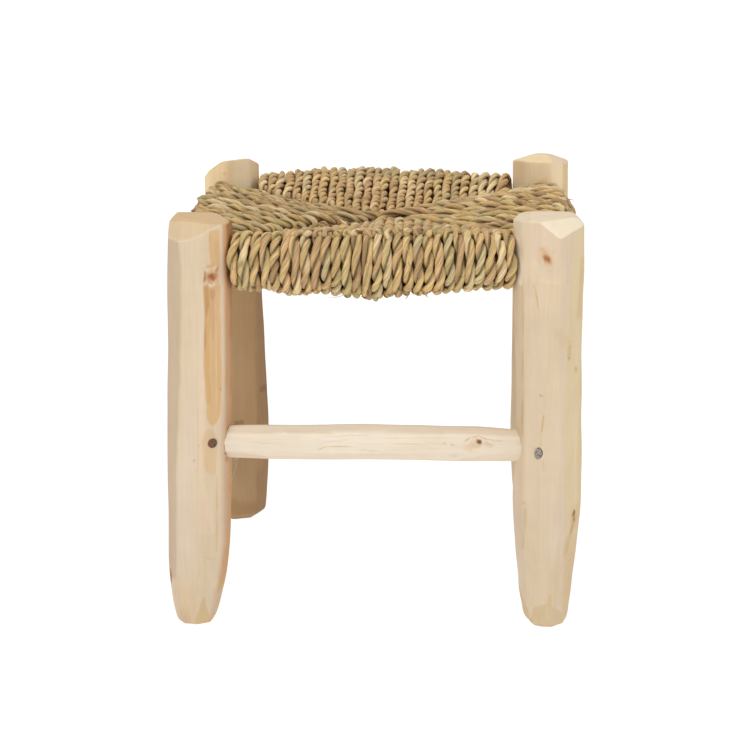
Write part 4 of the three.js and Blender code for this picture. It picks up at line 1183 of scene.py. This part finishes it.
def carriedFrames(path):
    # two directions across the path that don't twist about it: any direction across, turned back
    # by the sum of the angles by which it turns from each point to the next
    tangents = np.gradient(path, axis=0)
    tangents /= np.linalg.norm(tangents, axis=1, keepdims=True)
    guide = np.array([0.36, 0.48, 0.8])
    across = guide - tangents * (tangents @ guide)[:, None]
    across /= np.linalg.norm(across, axis=1, keepdims=True)
    kept = (across[:-1] * tangents[1:]).sum(axis=1, keepdims=True)
    carried = across[:-1] - tangents[1:] * kept
    crossed = (np.cross(carried, across[1:]) * tangents[1:]).sum(axis=1)
    turned = np.arctan2(crossed, (carried * across[1:]).sum(axis=1))
    twist = np.concatenate([[0], np.cumsum(turned)])[:, None]
    third = np.cross(tangents, across)
    cosine, sine = np.cos(twist), np.sin(twist)
    return cosine * across - sine * third, sine * across + cosine * third


def outwardFrom(place):
    # which way is out of the seat at each point of the path: away from the rail outside the rails,
    # and straight up or down between them
    beyond = np.abs(place[:, :2]) - stool["railOffset"]
    side = np.sign(place[:, :2]) * np.clip(beyond, 0, None)
    out = np.column_stack([side, place[:, 2] - stool["railHeight"]])
    return out / np.linalg.norm(out, axis=1, keepdims=True).clip(1)


def leafTints(walked, seed):
    # each ply is laid from leaves of its own colours: a new leaf every 25 to 90 mm, blended over
    # 3 mm, each a little darker or lighter than its colour
    rng = np.random.default_rng(seed)
    colours = np.array([light(*colour) for colour, _ in rope["palette"]])
    weights = np.array([weight for _, weight in rope["palette"]])
    ends = np.cumsum(rng.uniform(*rope["leafLengths"], int(walked[-1] / 40)))
    picks = colours[rng.choice(len(colours), len(ends) + 1, p=weights / weights.sum())]
    picks = picks * rng.uniform(*rope["leafShades"], (len(picks), 1))
    index = np.clip(np.searchsorted(ends, walked), 0, len(ends) - 1)
    blend = fade(ends[index] - walked, *rope["leafBlend"])[:, None]
    return picks[index] * blend + picks[index + 1] * (1 - blend)


def makeRope(palmLeaf):
    # two plies wind round the rope's path in a right-hand helix, longer over the front rail and
    # shorter behind, where the rope is also thinner; each ply is an ellipse, widest along the
    # rope's surface, whose size ripples as leaves start and end, and three leaf edges run along it
    path, walked = ropePath()
    place = nudgedPath(path[:, :3], walked)
    x, y, z = place.T
    behind = fade(y - np.abs(x), *rope["sideFade"]) * fade(z, *rope["upperFade"])
    behind = behind * fade(rope["outerFrom"] - y, *rope["outerFade"])
    leftSide = fade(-x - np.abs(y), *rope["sideFade"])
    fromWorn = (place[:, :2] - rope["wornMiddle"]) / rope["wornReach"]
    middle = np.exp(-(fromWorn ** 2).sum(axis=1)) * (z > rope["upperFrom"])
    girth = path[:, 3] * (1 - rope["backThinning"] * behind)
    across, third = carriedFrames(place)
    openSide = outwardFrom(place)
    angles = np.linspace(0, fullTurn, rope["sides"], endpoint=False)
    cosines, sines = np.cos(angles), np.sin(angles)
    lay = 1 + rope["frontLay"] * fade(-y, *rope["frontFade"]) + rope["backLay"] * behind
    phase = np.cumsum(fullTurn * rope["step"] / (rope["lay"] * lay))
    phase = phase + rope["twist"] * ripple(walked, rope["twistLength"], 90, 30)
    # painted light and shade: the strands behind are painted lighter and those on the left side
    # darker
    gain = 1 + rope["backLight"] * behind - rope["leftShade"] * leftSide
    deep, wide = rope["flatness"]
    plies, tints, fibres = [], [], []
    for ply in range(2):
        turn = (phase + math.pi * ply)[:, None]
        away = np.cos(turn) * across + np.sin(turn) * third
        along = np.cos(turn) * third - np.sin(turn) * across
        swell = 1 + sum(depth * ripple(walked, length, seed + ply, rope["waves"])
                        for length, depth, seed in rope["swells"])
        size = (rope["plyRadius"] * girth * swell)[:, None]
        seams = rope["seamWander"] * ripple(walked, rope["seamWanderLength"], 95 + ply, 20)
        seams = seams + walked / rope["seamPitch"] + ply
        ridge = np.abs(np.sin(1.5 * angles + seams[:, None])) ** rope["ridgePower"]
        ridge = rope["ridgeFrom"] + rope["ridge"] * ridge
        outward = (deep * size * cosines * ridge)[..., None] * away[:, None, :]
        sideways = (wide * size * sines * ridge)[..., None] * along[:, None, :]
        fromPath = (rope["plyOffset"] * girth)[:, None] * away
        fromPath = fromPath[:, None, :] + outward + sideways
        plies.append(place[:, None, :] + fromPath)
        tint = leafTints(walked, rope["seed"] + 20 + ply)
        tint = blendInto(tint, light(*rope["worn"]), rope["wornAmount"] * middle) * gain[:, None]
        # painted shade: each ply is painted darker where it turns into the rope's crevices, away
        # from the open side, and on its inner side, towards its partner
        raised = (fromPath * openSide[:, None, :]).sum(axis=2)
        raised = raised / rope["outermost"]  # about -1 inside, 1 outside
        low, dim = rope["innermost"], rope["innerSide"]
        creviceShade = low + (1 - low) * fade(raised, *rope["creviceFade"])
        inner = dim + (1 - dim) * fade(cosines, *rope["innerFade"])
        tints.append(tint[:, None, :] * (creviceShade * inner)[..., None])
        run = walked[:, None] / rope["fibreLength"] + rope["fibreApart"] * ply
        fibres.append(np.stack(np.broadcast_arrays(cosines, sines, run), -1))
    cuts = np.linspace(0, len(walked), rope["pieces"] + 1).astype(int)
    for part in range(rope["pieces"]):
        span = slice(cuts[part], min(cuts[part + 1] + 1, len(walked)))
        piece = closedSurface(f"seat_rope_{part + 1}", [rings[span] * mm for rings in plies])
        paintPoints(piece, "leafTint", np.vstack([withEnds(values[span]) for values in tints]))
        paintPoints(piece, "fibre", np.vstack([withEnds(values[span]) for values in fibres]))
        finishPiece(piece, palmLeaf, "seat_rope")
        print("rope part", part + 1, "made,", len(piece.data.polygons), "faces")
    return place, girth, openSide


leaf = {
    "fineScale": 3.4, "fineShare": (0.64, 1.15), "coarseScale": 1.3, "coarseShare": (0.72, 1.2),
    "roughness": 0.6, "gloss": 0.25, "bump": 0.7, "bumpDepth": 0.7,
}


def makePalmLeaf():
    # dried palm leaf: the leaf's colour, with fine fibres along the ply and a satin gloss
    material, tree, shader = newMaterial("palm_leaf")
    tint = node(tree, "ShaderNodeAttribute", attribute_name="leafTint").outputs["Color"]
    fibre = node(tree, "ShaderNodeAttribute", attribute_name="fibre").outputs["Vector"]
    streaks = noiseAt(tree, fibre, leaf["fineScale"], 4, 0.65)
    coarse = noiseAt(tree, fibre, leaf["coarseScale"], 2)
    fineShare = ranged(tree, streaks, 0.34, 0.6, *leaf["fineShare"])
    coarseShare = ranged(tree, coarse, 0.32, 0.68, *leaf["coarseShare"])
    colour = brightened(tree, tint, reckoned(tree, "MULTIPLY", fineShare, coarseShare))
    tree.links.new(colour, shader.inputs["Base Color"])
    shader.inputs["Roughness"].default_value = leaf["roughness"]
    shader.inputs["Specular IOR Level"].default_value = leaf["gloss"]
    addBump(tree, shader, streaks, leaf["bump"], leaf["bumpDepth"] * mm)
    return material


# Frayed leaf ends that stand off the rope. The listed ones are [start, bend, tip, width]; the
# loose ones peel off at random places, by their length along the strand, peel and sway.
frays = {
    "width": 0.7, "thickness": 0.25, "tone": (206, 176, 128),
    "strands": [
        [(-22, -157, 289), (-26, -162, 284.6), (-38, -162, 286.2), 0.5],
        [(30, -157, 290), (29, -161, 286), (27, -160, 284), 0.9],
        [(160, -58, 335), (164, -60, 338), (167, -60, 341), 1],
        [(44, -158, 292), (43, -163, 288.5), (46, -163, 286.6), 1.8],
    ],
    "loose": 200, "looseLength": (4.5, 9), "looseWidth": (0.6, 1.3), "peel": 1.2, "sway": 1.5,
    "seed": 61,
}


def looseEnds(place, girth, openSide):
    # leaf ends that peel off along the strands: from the strand's outer side at a random place,
    # forward or back along it, outward by the peel and aside by the sway
    rng = np.random.default_rng(frays["seed"])
    spots = rng.choice(len(place), frays["loose"], replace=False)
    tangents = np.gradient(place, axis=0)[spots]
    tangents /= np.linalg.norm(tangents, axis=1, keepdims=True)
    out = openSide[spots]
    aside = np.cross(tangents, out)
    length = rng.uniform(*frays["looseLength"], len(spots)) * rng.choice([-1, 1], len(spots))
    length = length[:, None]
    sway = frays["sway"] * rng.normal(size=len(spots))[:, None]
    peel = frays["peel"] * out
    start = place[spots] + (4 * girth[spots])[:, None] * out
    bend = start + 0.5 * length * tangents + 0.7 * peel + 0.3 * sway * aside
    tip = start + length * tangents + peel + sway * aside
    return list(zip(start, bend, tip, rng.uniform(*frays["looseWidth"], len(spots))))


def makeFrays(palmLeaf, loose):
    # each end is a quadratic curve through its three points, with a flat six-sided section that
    # tapers
    share = np.linspace(0, 1, 9)[:, None, None]
    angles = np.linspace(0, fullTurn, 6, endpoint=False)[:, None]
    sets, tints, fibres = [], [], []
    for number, (start, bend, tip, width) in enumerate(frays["strands"] + loose):
        start, bend, tip = np.array([start, bend, tip], float)
        centre = (1 - share) ** 2 * start + 2 * share * (1 - share) * bend + share ** 2 * tip
        tangent = (tip - start) / np.linalg.norm(tip - start)
        across = np.cross(tangent, (0.3, 0.9, 0.2))
        across /= np.linalg.norm(across)
        third = np.cross(tangent, across)
        flat = np.cos(angles) * across + frays["thickness"] * np.sin(angles) * third
        sets.append((centre + frays["width"] * width * (1.02 - share) ** 0.6 * flat) * mm)
        tint = light(*frays["tone"]) * (0.85 + 0.05 * (number % 7))
        tints.append(withEnds(np.broadcast_to(tint, sets[-1].shape)))
        fibres.append(withEnds(np.broadcast_to([0.3 * number, 0.2, 0.1], sets[-1].shape)))
    piece = closedSurface("seat_rope_ends", sets)
    paintPoints(piece, "leafTint", np.vstack(tints))
    paintPoints(piece, "fibre", np.vstack(fibres))
    finishPiece(piece, palmLeaf, "seat_rope")
    print("frayed ends made")


palmLeaf = makePalmLeaf()
makeFrays(palmLeaf, looseEnds(*makeRope(palmLeaf)))

print("all made")
